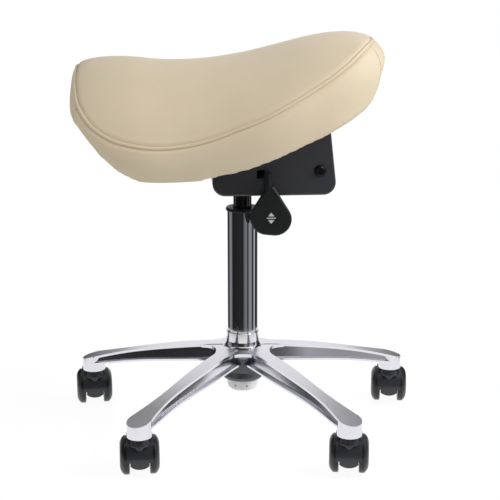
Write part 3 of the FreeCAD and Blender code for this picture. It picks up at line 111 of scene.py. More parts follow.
class SaddleSettings(PropertyGroup):
    """Sizes and colours of the upholstery."""

    leather: color_setting("Leather", "Colour of the top panel", (222, 206, 178))
    shade: color_setting("Shade", "Colour of the leather's darker patches", (206, 190, 160))
    welt_width: FloatProperty(
        name="Welt Width", description="Width of the raised seam", unit="LENGTH", min=0.001, max=0.02,
        default=0.0052)
    bulge: FloatProperty(
        name="Band Bulge", description="How far the band swells outward", unit="LENGTH", min=0, max=0.03,
        default=0.009)
    grain: FloatProperty(
        name="Grain", description="Size of one pebble of the leather's grain", unit="LENGTH",
        min=0.0002, max=0.01, default=0.0011)


class MetalSettings(PropertyGroup):
    """Colours of the metal and plastic pieces."""

    alloy: color_setting("Alloy", "Colour of the cast base", (226, 226, 232))
    chrome: color_setting("Chrome", "Colour of the column tube", (205, 206, 212))
    enamel: color_setting("Enamel", "Colour of the tilt housing", (52, 53, 58))
    plastic: color_setting("Plastic", "Colour of the caster hoods", (48, 49, 54))
    paddle: color_setting("Paddle", "Colour of the control paddle", (22, 26, 27))
    nylon: color_setting("Nylon", "Colour of the cap under the hub", (250, 250, 250))


class StageSettings(PropertyGroup):
    """Light on the stool."""

    key: FloatProperty(name="Key Light", description="Power of the main lamp", unit="POWER", min=0,
        default=33.0)
    fill: FloatProperty(name="Fill Light", description="Power of the side lamp", unit="POWER", min=0,
        default=8.0)
    ambient: FloatProperty(name="Ambient", description="Strength of the surrounding light", min=0,
        default=0.45)
    flag_radius: FloatProperty(
        name="Flag Distance", description="Distance of the dark flags that the metal mirrors", unit="LENGTH",
        min=0.3, max=2.0, default=0.53)
    flag_height: FloatProperty(
        name="Flag Height", description="Height of the dark flags", unit="LENGTH", min=0.1, max=2.0,
        default=0.8)


# Meshes from arrays


def new_object(name, vertices, faces, smooth=True):
    """Puts arrays of points and faces in a mesh object at the origin."""
    mesh = bpy.data.meshes.new(name)
    mesh.from_pydata(np.asarray(vertices, dtype=float).tolist(), [], [tuple(face) for face in faces])
    mesh.validate()
    mesh.update()
    if smooth:
        mesh.shade_smooth()
    piece = bpy.data.objects.new(name, mesh)
    bpy.context.scene.collection.objects.link(piece)
    return piece


def grid_faces(rows, columns, closed_rows=False, closed_columns=False):
    """Quads of a grid of rows times columns points, wrapped round where it is closed."""
    last_row = rows if closed_rows else rows - 1
    last_column = columns if closed_columns else columns - 1
    i, j = np.meshgrid(np.arange(last_row), np.arange(last_column), indexing="ij")
    i2, j2 = (i + 1) % rows, (j + 1) % columns
    quads = np.stack([i * columns + j, i * columns + j2, i2 * columns + j2, i2 * columns + j], axis=-1)
    return quads.reshape(-1, 4)


def outward(piece):
    """Points every face outward and merges doubled points."""
    work = bmesh.new()
    work.from_mesh(piece.data)
    bmesh.ops.remove_doubles(work, verts=work.verts, dist=1e-6)
    bmesh.ops.recalc_face_normals(work, faces=work.faces)
    work.to_mesh(piece.data)
    work.free()
    piece.data.shade_smooth()
    return piece


def smooth_through(points, count):
    """A periodic cubic spline through the points, sampled evenly along its chords."""
    total = len(points)
    steps = np.linalg.norm(np.roll(points, -1, axis=0) - points, axis=1)
    knots = np.concatenate([[0.0], np.cumsum(steps)])
    index = np.arange(total)
    before = np.roll(steps, 1)
    matrix = np.zeros((total, total))
    matrix[index, (index - 1) % total] += before
    matrix[index, index] += 2 * (before + steps)
    matrix[index, (index + 1) % total] += steps
    slope = (np.roll(points, -1, axis=0) - points) / steps[:, None]
    second = np.linalg.solve(matrix, 6 * (slope - np.roll(slope, 1, axis=0)))
    place = np.linspace(0, knots[-1], count, endpoint=False)
    span = np.clip(np.searchsorted(knots, place, side="right") - 1, 0, total - 1)
    following = (span + 1) % total
    t = ((place - knots[span]) / steps[span])[:, None]
    bend = ((1 - t) ** 3 - (1 - t)) * second[span] + (t ** 3 - t) * second[following]
    return points[span] * (1 - t) + points[following] * t + steps[span][:, None] ** 2 / 6 * bend


# Saddle surfaces


def station_values(x):
    """The station table read at any x by smooth cubic steps between its rows: arrays of each value."""
    x = np.clip(x, STATIONS[0, 0], STATIONS[-1, 0])
    places = STATIONS[:, 0]
    slopes = np.gradient(STATIONS[:, 1:], places, axis=0)
    span = np.clip(np.searchsorted(places, x, side="right") - 1, 0, len(places) - 2)
    width = places[span + 1] - places[span]
    t = ((x - places[span]) / width)[..., None]
    first, second = STATIONS[span, 1:], STATIONS[span + 1, 1:]
    out = (first * (2 * t ** 3 - 3 * t ** 2 + 1) + second * (3 * t ** 2 - 2 * t ** 3)
           + slopes[span] * width[..., None] * (t ** 3 - 2 * t ** 2 + t)
           + slopes[span + 1] * width[..., None] * (t ** 3 - t ** 2))
    return np.moveaxis(out, -1, 0)


def arch(across, half, edge, middle):
    """Height on the circular arc through the middle and both edges, at a distance from the centre plane."""
    sag = middle - edge
    radius = (half * half + sag * sag) / (2 * sag)
    return middle - radius + np.sqrt(np.maximum(radius * radius - across * across, 0))


def crown_height(x, y):
    """Height of the saddle's top: along X the crown line, across Y an arc down to the seam's height."""
    half, crown, seam, low, under = station_values(np.clip(x, -252, 190))
    ridge = station_values(x)[1]
    ridge = np.where(x < -232, 613 - (np.maximum(-232 - x, 0) / 28.0) ** 1.6 * 7.0, ridge)
    ridge = np.where(x > 160, 652 - (np.maximum(x - 160, 0) / 45.0) ** 2.2 * 6.0, ridge)
    ridge = ridge + 1.2 * np.clip((x - 10) / 60, 0, 1)
    return arch(np.abs(y), half, seam, crown) - crown + ridge


def hollow_height(x, y):
    """Height of the saddle's underside: an arc across Y from the lower edge up to the hollow's middle."""
    half, crown, seam, low, under = station_values(np.clip(x, -250, 205))
    return arch(np.abs(y), half - 5, low, under)


def seam_outline(count):
    """The seam's plan outline all round, from the front's middle over the lever's side."""
    half = SEAM_PLAN
    mirrored = half[-2:0:-1] * np.array((1, -1))
    ring = np.concatenate([half, mirrored])
    return smooth_through(ring, count)


def ring_normals(ring):
    """Outward unit normals of a closed plan outline."""
    ahead = np.roll(ring, -1, axis=0) - np.roll(ring, 1, axis=0)
    normal = np.stack([-ahead[:, 1], ahead[:, 0]], axis=1)
    normal /= np.linalg.norm(normal, axis=1)[:, None]
    centre = ring.mean(axis=0)
    flip = np.sign(((ring - centre) * normal).sum(axis=1).mean())
    return normal * flip


def disc_grid(count):
    """A square grid bent into a disc, so that it has no pole: u*sqrt(1-v*v/2), v*sqrt(1-u*u/2)."""
    line = np.linspace(-1, 1, count)
    u, v = np.meshgrid(line, line, indexing="ij")
    return u * np.sqrt(1 - v * v / 2), v * np.sqrt(1 - u * u / 2)


def square_border(count):
    """Indexes of a square grid's border points in order round it."""
    top = [i * count for i in range(count - 1)]
    right = [(count - 1) * count + j for j in range(count - 1)]
    bottom = [i * count + count - 1 for i in range(count - 1, 0, -1)]
    left = [j for j in range(count - 1, 0, -1)]
    return np.array(top + right + bottom + left)


def outline_at(angle, ring, centre):
    """Points of a plan outline in given directions from its centre."""
    spokes = ring - centre
    bearing = np.unwrap(np.arctan2(spokes[:, 1], spokes[:, 0]))
    order = np.argsort(bearing % (2 * math.pi))
    bearing = (bearing % (2 * math.pi))[order]
    ring = ring[order]
    bearing = np.concatenate([bearing - 2 * math.pi, bearing, bearing + 2 * math.pi])
    ring = np.concatenate([ring, ring, ring])
    angle = angle % (2 * math.pi)
    return np.stack([np.interp(angle, bearing, ring[:, 0]), np.interp(angle, bearing, ring[:, 1])], axis=-1)


def evened(values, passes):
    """Values round a closed ring, smoothed by passes that weigh each and its neighbours 2 to 1 to 1."""
    for step in range(passes):
        values = 0.25 * np.roll(values, 1, axis=0) + 0.5 * values + 0.25 * np.roll(values, -1, axis=0)
    return values


def band_foot(ring):
    """Height of the band's lower edge: read along X at the sides, parabolas across both ends, then evened."""
    x, y = ring[:, 0], np.abs(ring[:, 1])
    side = np.interp(x, LOWER_EDGE[:, 0], LOWER_EDGE[:, 1])
    foot = np.where(x < -246, np.maximum(555 - 30 * (y / 140) ** 2, side), side)
    foot = np.where(x > 192, np.maximum(586 - 14 * (y / 60) ** 2, side), foot)
    return evened(foot, 10) - 6.0


def band_point(rim, normal, foot, bulge, t):
    """A ring of the band at a share t of its depth: a half sine of swell outward, fuller at the rear."""
    rear = np.clip((rim[:, 0] - 90) / 90, 0, 1)
    front = np.clip((-205 - rim[:, 0]) / 45, 0, 1) * np.clip((np.abs(rim[:, 1]) - 60) / 80, 0, 1)
    fuller = bulge + 12.5 * rear ** 2 + 3.5 * front
    tuck = 3.5 - 12.0 * rear - 9.0 * front
    swell = fuller * math.sin(math.pi * t ** 0.85) - tuck * t ** 2
    drop = rim[:, 2] + (foot - rim[:, 2]) * (t * 0.96 + 0.04 * t * t)
    return np.concatenate([rim[:, :2] + normal * swell[:, None], drop[:, None]], axis=1)


def inset_disc(count, inset, height):
    """A disc grid over the seam's outline, drawn in by an inset, set on a height function."""
    ring = seam_outline(720)
    u, v = disc_grid(count)
    radius, angle = np.sqrt(u * u + v * v), np.arctan2(v, u)
    edge = outline_at(angle, ring, SADDLE_CENTRE)
    spoke = edge - SADDLE_CENTRE
    reach = np.linalg.norm(spoke, axis=-1)
    plan = SADDLE_CENTRE + (radius * (reach - inset) / reach)[..., None] * spoke
    return plan, radius, reach, height(plan[..., 0], plan[..., 1])


def saddle_surface(count, bulge):
    """The whole upholstered body: crowned top, swelling band, the edge turned under and the hollow below.

    The top and the hollow are pole-free disc grids set on the crown and hollow heights; rings join their
    borders down the band, whose outward swell is a half sine over its depth.
    """
    plan, radius, reach, height = inset_disc(count, 0.0, crown_height)
    height = height - 3.0 * np.exp(-((1 - radius) * reach / 6.0) ** 1.5)
    top = np.stack([plan[..., 0], plan[..., 1], height], axis=-1).reshape(-1, 3)
    border = square_border(count)
    rim = top[border]
    normal = ring_normals(rim[:, :2])
    foot = band_foot(rim[:, :2] + normal * 2.0)
    rings = [band_point(rim, normal, foot, bulge, t) for t in np.linspace(0, 1, 21)[1:]]
    for inward, down in ((6.5, 2.2), (11.0, 3.0), (16.0, 2.2), (20.0, -1.0)):
        near = rim[:, :2] - normal * inward
        edge = rim[:, :2] - normal * 4.0
        fall = foot + hollow_height(near[:, 0], near[:, 1]) - hollow_height(edge[:, 0], edge[:, 1])
        rings.append(np.concatenate([near, evened(fall - down, 6)[:, None]], axis=1))
    last = rings.pop()
    plan, radius, reach, low = inset_disc(count, 24.0, hollow_height)
    under = np.stack([plan[..., 0], plan[..., 1], low + 3.0], axis=-1).reshape(-1, 3)
    gap = last - under[border]
    bearing = np.arctan2(*(under[border][:, :2] - SADDLE_CENTRE).T[::-1]) % (2 * math.pi)
    order = np.argsort(bearing)
    spokes = np.arctan2(*(under[:, :2] - SADDLE_CENTRE).T[::-1]) % (2 * math.pi)
    lift = np.interp(spokes, bearing[order], gap[order, 2], period=2 * math.pi)
    under[:, 2] += lift * radius.reshape(-1) ** 6
    under[border] = last
    points = np.concatenate([top] + rings + [under])
    faces = [grid_faces(count, count)]
    base = len(top) + len(rings) * len(border)
    loops = [border] + [len(top) + k * len(border) + np.arange(len(border)) for k in range(len(rings))]
    loops.append(base + border)
    for first, second in zip(loops, loops[1:]):
        faces.append(np.stack([first, np.roll(first, -1), np.roll(second, -1), second], axis=-1))
    faces.append(base + grid_faces(count, count)[:, ::-1])
    return points, np.concatenate(faces)


def seam_line(count):
    """The seam in space: the plan outline set on the crown heights, a little below them."""
    ring = seam_outline(count)
    height = crown_height(ring[:, 0], ring[:, 1]) - 3.2
    return np.concatenate([ring, height[:, None]], axis=1)


def mesh_points(piece):
    """The points of a piece's mesh as an array, in metres."""
    flat = np.empty(len(piece.data.vertices) * 3, dtype=np.float32)
    piece.data.vertices.foreach_get("co", flat)
    return flat.reshape(-1, 3).astype(float)


def mesh_normals(piece):
    """The outward normals at the points of a piece's mesh."""
    flat = np.empty(len(piece.data.vertices) * 3, dtype=np.float32)
    piece.data.vertices.foreach_get("normal", flat)
    return flat.reshape(-1, 3).astype(float)


def set_points(piece, points):
    """Moves the points of a piece's mesh."""
    piece.data.vertices.foreach_set("co", np.ascontiguousarray(points, dtype=np.float32).reshape(-1))
    piece.data.update()


def nearest(points, targets):
    """For each point, the nearest target's index and distance, worked out in blocks."""
    index = np.empty(len(points), dtype=int)
    distance = np.empty(len(points))
    square = (targets ** 2).sum(axis=1)
    for start in range(0, len(points), 4000):
        block = points[start:start + 4000]
        gap = square[None, :] - 2 * block @ targets.T
        index[start:start + 4000] = gap.argmin(axis=1)
        distance[start:start + 4000] = np.linalg.norm(block - targets[index[start:start + 4000]], axis=1)
    return index, distance


def applied(piece):
    """Replaces a piece's mesh by what its modifiers make of it."""
    graph = bpy.context.evaluated_depsgraph_get()
    mesh = bpy.data.meshes.new_from_object(piece.evaluated_get(graph))
    piece.modifiers.clear()
    old, piece.data = piece.data, mesh
    bpy.data.meshes.remove(old)
    piece.data.shade_smooth()
    return piece


def spread_over(ends, values, passes):
    """Values at a mesh's points, each pass replacing one by the mean of those across its edges."""
    count = np.bincount(ends.reshape(-1), minlength=len(values))
    for step in range(passes):
        around = (np.bincount(ends[:, 0], weights=values[ends[:, 1]], minlength=len(values))
                  + np.bincount(ends[:, 1], weights=values[ends[:, 0]], minlength=len(values)))
        values = around / np.maximum(count, 1)
    return values


def filled_out(piece, fullness):
    """Swells a body by cloth pressure: it starts drawn in, and no point moves further than the fullness."""
    remesh = piece.modifiers.new("even mesh", "REMESH")
    remesh.mode = "VOXEL"
    remesh.voxel_size = VOXEL
    applied(piece)
    ends = np.empty(len(piece.data.edges) * 2, dtype=np.int32)
    piece.data.edges.foreach_get("vertices", ends)
    ends = ends.reshape(-1, 2)
    set_points(piece, np.stack([spread_over(ends, values, 5) for values in mesh_points(piece).T], axis=1))
    points, normals = mesh_points(piece), mesh_normals(piece)
    hollow = hollow_height(points[:, 0] / MM, points[:, 1] / MM) * MM
    free = np.clip((points[:, 2] - hollow - 0.006) / 0.012, 0, 1)
    free = np.maximum(free, np.clip(normals[:, 2] * 2 + 1, 0, 1))
    free = spread_over(ends, free, 12)[:, None]
    start = points - normals * fullness * free
    set_points(piece, start)
    cloth = piece.modifiers.new("filling", "CLOTH")
    cloth.settings.use_pressure = True
    cloth.settings.uniform_pressure_force = CLOTH_PRESSURE
    cloth.settings.effector_weights.gravity = 0.0
    cloth.settings.quality = 4
    cloth.collision_settings.use_collision = False
    scene = bpy.context.scene
    for step in range(1, CLOTH_FRAMES + 1):
        scene.frame_set(step)
    applied(piece)
    scene.frame_set(1)
    move = mesh_points(piece) - start
    move -= move.mean(axis=0)
    swell = (move * normals).sum(axis=1)
    level = np.percentile(swell[free[:, 0] > 0.9], 35)
    swell = fullness * np.clip(swell / max(level, 1e-6), 0.0, 1.15)
    swell = spread_over(ends, swell, 40)
    set_points(piece, start + normals * swell[:, None] * free)
    fine = piece.modifiers.new("finer", "SUBSURF")
    fine.levels = fine.render_levels = 1
    return applied(piece)


# Material parts


def group_socket(group, name, kind, output=False, default=None):
    """Adds one named input or output to a node group."""
    socket = group.interface.new_socket(name=name, in_out="OUTPUT" if output else "INPUT", socket_type=kind)
    if default is not None:
        socket.default_value = default
    return socket


def node(tree, kind, place=(0, 0), **values):
    """Adds a node with its settings."""
    made = tree.nodes.new(kind)
    made.location = place
    for key, value in values.items():
        setattr(made, key, value)
    return made


def wire(tree, source, output, target, entry):
    """Joins one node's output to another's input."""
    tree.links.new(source.outputs[output], target.inputs[entry])


def leather_grain_group():
    """Pebbled grain with broad creases, and slow changes of colour."""
    if "Leather Grain" in bpy.data.node_groups:
        return bpy.data.node_groups["Leather Grain"]
    group = bpy.data.node_groups.new("Leather Grain", "ShaderNodeTree")
    group_socket(group, "Color", "NodeSocketColor", default=(0.7, 0.6, 0.45, 1))
    group_socket(group, "Shade", "NodeSocketColor", default=(0.6, 0.5, 0.38, 1))
    group_socket(group, "Grain Size", "NodeSocketFloat", default=0.0011)
    group_socket(group, "Depth", "NodeSocketFloat", default=0.35)
    group_socket(group, "Color", "NodeSocketColor", output=True)
    group_socket(group, "Roughness", "NodeSocketFloat", output=True)
    group_socket(group, "Normal", "NodeSocketVector", output=True)
    entry = node(group, "NodeGroupInput", (-1100, 0))
    exit_node = node(group, "NodeGroupOutput", (700, 0))
    coordinates = node(group, "ShaderNodeTexCoord", (-1100, -300))
    scale = node(group, "ShaderNodeMath", (-900, -150), operation="DIVIDE")
    scale.inputs[0].default_value = 1.0
    wire(group, entry, "Grain Size", scale, 1)
    pebbles = node(group, "ShaderNodeTexVoronoi", (-650, -100), feature="DISTANCE_TO_EDGE")
    wire(group, coordinates, "Object", pebbles, "Vector")
    wire(group, scale, 0, pebbles, "Scale")
    creases = node(group, "ShaderNodeTexNoise", (-650, -380))
    creases.inputs["Scale"].default_value = 90.0
    creases.inputs["Detail"].default_value = 5.0
    wire(group, coordinates, "Object", creases, "Vector")
    height = node(group, "ShaderNodeMath", (-400, -200), operation="MULTIPLY_ADD")
    height.inputs[1].default_value = 1.4
    wire(group, pebbles, "Distance", height, 0)
    wire(group, creases, "Fac", height, 2)
    bump = node(group, "ShaderNodeBump", (-100, -250))
    bump.inputs["Distance"].default_value = 0.0004
    wire(group, entry, "Depth", bump, "Strength")
    wire(group, height, 0, bump, "Height")
    clouds = node(group, "ShaderNodeTexNoise", (-650, 250))
    clouds.inputs["Scale"].default_value = 7.0
    clouds.inputs["Detail"].default_value = 3.0
    wire(group, coordinates, "Object", clouds, "Vector")
    spread = node(group, "ShaderNodeMapRange", (-400, 250))
    spread.inputs["From Min"].default_value = 0.35
    spread.inputs["From Max"].default_value = 0.65
    spread.inputs["To Min"].default_value = 0.0
    spread.inputs["To Max"].default_value = 0.35
    wire(group, clouds, "Fac", spread, "Value")
    mix = node(group, "ShaderNodeMix", (-100, 250), data_type="RGBA")
    wire(group, spread, "Result", mix, "Factor")
    wire(group, entry, "Color", mix, "A")
    wire(group, entry, "Shade", mix, "B")
    rough = node(group, "ShaderNodeMapRange", (-100, 0))
    rough.inputs["To Min"].default_value = 0.46
    rough.inputs["To Max"].default_value = 0.60
    wire(group, creases, "Fac", rough, "Value")
    wire(group, mix, "Result", exit_node, "Color")
    wire(group, rough, "Result", exit_node, "Roughness")
    wire(group, bump, "Normal", exit_node, "Normal")
    return group


def surface_wear_group():
    """Fine unevenness for metal and plastic: mottled colour, roughness patches and a slight bump."""
    if "Surface Wear" in bpy.data.node_groups:
        return bpy.data.node_groups["Surface Wear"]
    group = bpy.data.node_groups.new("Surface Wear", "ShaderNodeTree")
    group_socket(group, "Color", "NodeSocketColor", default=(0.5, 0.5, 0.5, 1))
    group_socket(group, "Scale", "NodeSocketFloat", default=60.0)
    group_socket(group, "Roughness", "NodeSocketFloat", default=0.3)
    group_socket(group, "Spread", "NodeSocketFloat", default=0.08)
    group_socket(group, "Mottle", "NodeSocketFloat", default=0.06)
    group_socket(group, "Bump", "NodeSocketFloat", default=0.1)
    group_socket(group, "Color", "NodeSocketColor", output=True)
    group_socket(group, "Roughness", "NodeSocketFloat", output=True)
    group_socket(group, "Normal", "NodeSocketVector", output=True)
    entry = node(group, "NodeGroupInput", (-1000, 0))
    exit_node = node(group, "NodeGroupOutput", (700, 0))
    coordinates = node(group, "ShaderNodeTexCoord", (-1000, -300))
    fine = node(group, "ShaderNodeTexNoise", (-700, -150))
    fine.inputs["Detail"].default_value = 6.0
    wire(group, coordinates, "Object", fine, "Vector")
    wire(group, entry, "Scale", fine, "Scale")
    broad = node(group, "ShaderNodeTexNoise", (-700, 200))
    broad.inputs["Scale"].default_value = 14.0
    broad.inputs["Detail"].default_value = 3.0
    wire(group, coordinates, "Object", broad, "Vector")
    offset = node(group, "ShaderNodeMath", (-450, 0), operation="SUBTRACT")
    offset.inputs[1].default_value = 0.5
    wire(group, broad, "Fac", offset, 0)
    rough = node(group, "ShaderNodeMath", (-200, 0), operation="MULTIPLY_ADD", use_clamp=True)
    wire(group, offset, 0, rough, 0)
    wire(group, entry, "Spread", rough, 1)
    wire(group, entry, "Roughness", rough, 2)
    shade = node(group, "ShaderNodeMath", (-200, 220), operation="MULTIPLY_ADD")
    wire(group, offset, 0, shade, 0)
    wire(group, entry, "Mottle", shade, 1)
    shade.inputs[2].default_value = 1.0
    tint = node(group, "ShaderNodeVectorMath", (100, 220), operation="SCALE")
    wire(group, entry, "Color", tint, 0)
    wire(group, shade, 0, tint, "Scale")
    bump = node(group, "ShaderNodeBump", (100, -200))
    bump.inputs["Distance"].default_value = 0.0002
    wire(group, entry, "Bump", bump, "Strength")
    wire(group, fine, "Fac", bump, "Height")
    wire(group, tint, "Vector", exit_node, "Color")
    wire(group, rough, 0, exit_node, "Roughness")
    wire(group, bump, "Normal", exit_node, "Normal")
    return group


def leather_material(name, color, shade, grain_size, depth=0.35):
    """Coated leather with a soft sheen."""
    if name in bpy.data.materials:
        return bpy.data.materials[name]
    material = bpy.data.materials.new(name)
    material.use_nodes = True
    tree = material.node_tree
    shader = tree.nodes["Principled BSDF"]
    grain = node(tree, "ShaderNodeGroup", (-400, 200))
    grain.node_tree = leather_grain_group()
    grain.inputs["Color"].default_value = color
    grain.inputs["Shade"].default_value = shade
    grain.inputs["Grain Size"].default_value = grain_size
    grain.inputs["Depth"].default_value = depth
    wire(tree, grain, "Color", shader, "Base Color")
    wire(tree, grain, "Roughness", shader, "Roughness")
    wire(tree, grain, "Normal", shader, "Normal")
    shader.inputs["Specular IOR Level"].default_value = 0.35
    shader.inputs["Sheen Weight"].default_value = 0.12
    shader.inputs["Sheen Roughness"].default_value = 0.5
    return material


def worn_material(name, color, roughness, metallic=0.0, scale=60.0, spread=0.08, mottle=0.06, bump=0.1,
                  coat=0.0):
    """A metal or plastic with fine unevenness."""
    if name in bpy.data.materials:
        return bpy.data.materials[name]
    material = bpy.data.materials.new(name)
    material.use_nodes = True
    tree = material.node_tree
    shader = tree.nodes["Principled BSDF"]
    wear = node(tree, "ShaderNodeGroup", (-400, 200))
    wear.node_tree = surface_wear_group()
    for key, value in (("Color", color), ("Scale", scale), ("Roughness", roughness), ("Spread", spread),
                       ("Mottle", mottle), ("Bump", bump)):
        wear.inputs[key].default_value = value
    wire(tree, wear, "Color", shader, "Base Color")
    wire(tree, wear, "Roughness", shader, "Roughness")
    wire(tree, wear, "Normal", shader, "Normal")
    shader.inputs["Metallic"].default_value = metallic
    shader.inputs["Coat Weight"].default_value = coat
    return material


def dress(material, *names):
    """Gives CAD nodes a better material."""
    for name in names:
        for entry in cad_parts[name].material_slots:
            entry.material = material


def paint(piece, *materials):
    """Gives a new piece its materials."""
    for material in materials:
        piece.data.materials.append(material)
    return piece


# Each finish: its colour, or the name of its setting, its roughness and its other surface values
FINISHES = {
    "column chrome": ("chrome", 0.045, dict(metallic=1.0, spread=0.02, mottle=0.03, bump=0.01)),
    "polished casting": ("alloy", 0.12, dict(metallic=1.0, spread=0.05, mottle=0.05, bump=0.04)),
    "housing enamel": ("enamel", 0.3, dict(scale=900, bump=0.12, coat=0.35)),
    "hood plastic": ("plastic", 0.30, dict(scale=500, bump=0.12, coat=0.1)),
    "wheel plastic": ((26, 27, 31), 0.34, dict(scale=500, bump=0.15)),
    "blackened steel": ((24, 25, 28), 0.28, dict(metallic=0.6, scale=300, bump=0.1)),
    "bright steel": ((190, 191, 194), 0.25, dict(metallic=1.0, scale=240, bump=0.1)),
    "black nylon": ((22, 23, 25), 0.45, dict(scale=400, bump=0.15)),
    "white nylon": ("nylon", 0.42, dict(scale=300, bump=0.1)),
    "paddle plastic": ("paddle", 0.42, dict(scale=1400, bump=0.3)),
    "mark paint": ((200, 203, 206), 0.5, dict(bump=0.1)),
    "lift enamel": ((16, 17, 19), 0.12, dict(scale=200, bump=0.03, coat=0.6)),
    "black rubber": ((20, 20, 20), 0.8, {}),
    "beech plywood": ((198, 164, 118), 0.6, dict(bump=0.3)),
    "underside cloth": ((30, 30, 32), 0.85, dict(scale=1200, bump=0.5)),
}


def finish(name):
    """The material of a named finish."""
    color, roughness, surface = FINISHES[name]
    if isinstance(color, str):
        color = getattr(bpy.context.scene.stool_metal, color)
    else:
        color = srgb(*color)
    return worn_material(name, color, roughness, **surface)


def alloy_material():
    """Polished casting: faces that look up are satin, by their normal, and the hub's cup is painted a darker,
    rougher grey: partly as-cast metal, partly painted shade under the arms.
    """
    material = finish("polished casting")
    tree = material.node_tree
    shader = tree.nodes["Principled BSDF"]
    if "satin top" not in tree.nodes:
        wear = next(entry for entry in tree.nodes if entry.type == "GROUP")
        facing = node(tree, "ShaderNodeNewGeometry", (-700, -200))
        parts = node(tree, "ShaderNodeSeparateXYZ", (-520, -200))
        satin = node(tree, "ShaderNodeMapRange", (-360, -200))
        satin.name = "satin top"
        satin.inputs["From Min"].default_value = 0.80
        satin.inputs["From Max"].default_value = 0.97
        satin.inputs["To Min"].default_value = 0.0
        satin.inputs["To Max"].default_value = 0.22
        total = node(tree, "ShaderNodeMath", (-160, -100), operation="ADD")
        wire(tree, facing, "Normal", parts, "Vector")
        wire(tree, parts, "Z", satin, "Value")
        wire(tree, wear, "Roughness", total, 0)
        wire(tree, satin, "Result", total, 1)
        place = node(tree, "ShaderNodeTexCoord", (-900, -500))
        flat = node(tree, "ShaderNodeVectorMath", (-720, -560), operation="MULTIPLY")
        flat.inputs[1].default_value = (1, 1, 0)
        radius = node(tree, "ShaderNodeVectorMath", (-540, -560), operation="LENGTH")
        inside = node(tree, "ShaderNodeMapRange", (-360, -560))
        for key, value in (("From Min", 0.0385), ("From Max", 0.0355)):
            inside.inputs[key].default_value = value
        split = node(tree, "ShaderNodeSeparateXYZ", (-720, -400))
        low = node(tree, "ShaderNodeMapRange", (-360, -400))
        for key, value in (("From Min", 0.128), ("From Max", 0.122)):
            low.inputs[key].default_value = value
        cast_and_shade = node(tree, "ShaderNodeMath", (-160, -450), operation="MULTIPLY")
        wire(tree, place, "Object", flat, 0)
        wire(tree, flat, "Vector", radius, 0)
        wire(tree, radius, "Value", inside, "Value")
        wire(tree, place, "Object", split, "Vector")
        wire(tree, split, "Z", low, "Value")
        wire(tree, inside, "Result", cast_and_shade, 0)
        wire(tree, low, "Result", cast_and_shade, 1)
        # Painted shade: the hub's cup below the arms is mixed to a dark grey. This stands partly for as-cast
        # metal and partly for the shade that falls there.
        mix = node(tree, "ShaderNodeMix", (-160, 200), data_type="RGBA")
        mix.inputs["B"].default_value = srgb(112, 113, 118)
        wire(tree, cast_and_shade, 0, mix, "Factor")
        wire(tree, wear, "Color", mix, "A")
        wire(tree, mix, "Result", shader, "Base Color")
        rough = node(tree, "ShaderNodeMath", (0, -200), operation="MULTIPLY_ADD")
        rough.inputs[1].default_value = 0.35
        wire(tree, cast_and_shade, 0, rough, 0)
        wire(tree, total, 0, rough, 2)
        wire(tree, rough, 0, shader, "Roughness")
    return material


# Operators


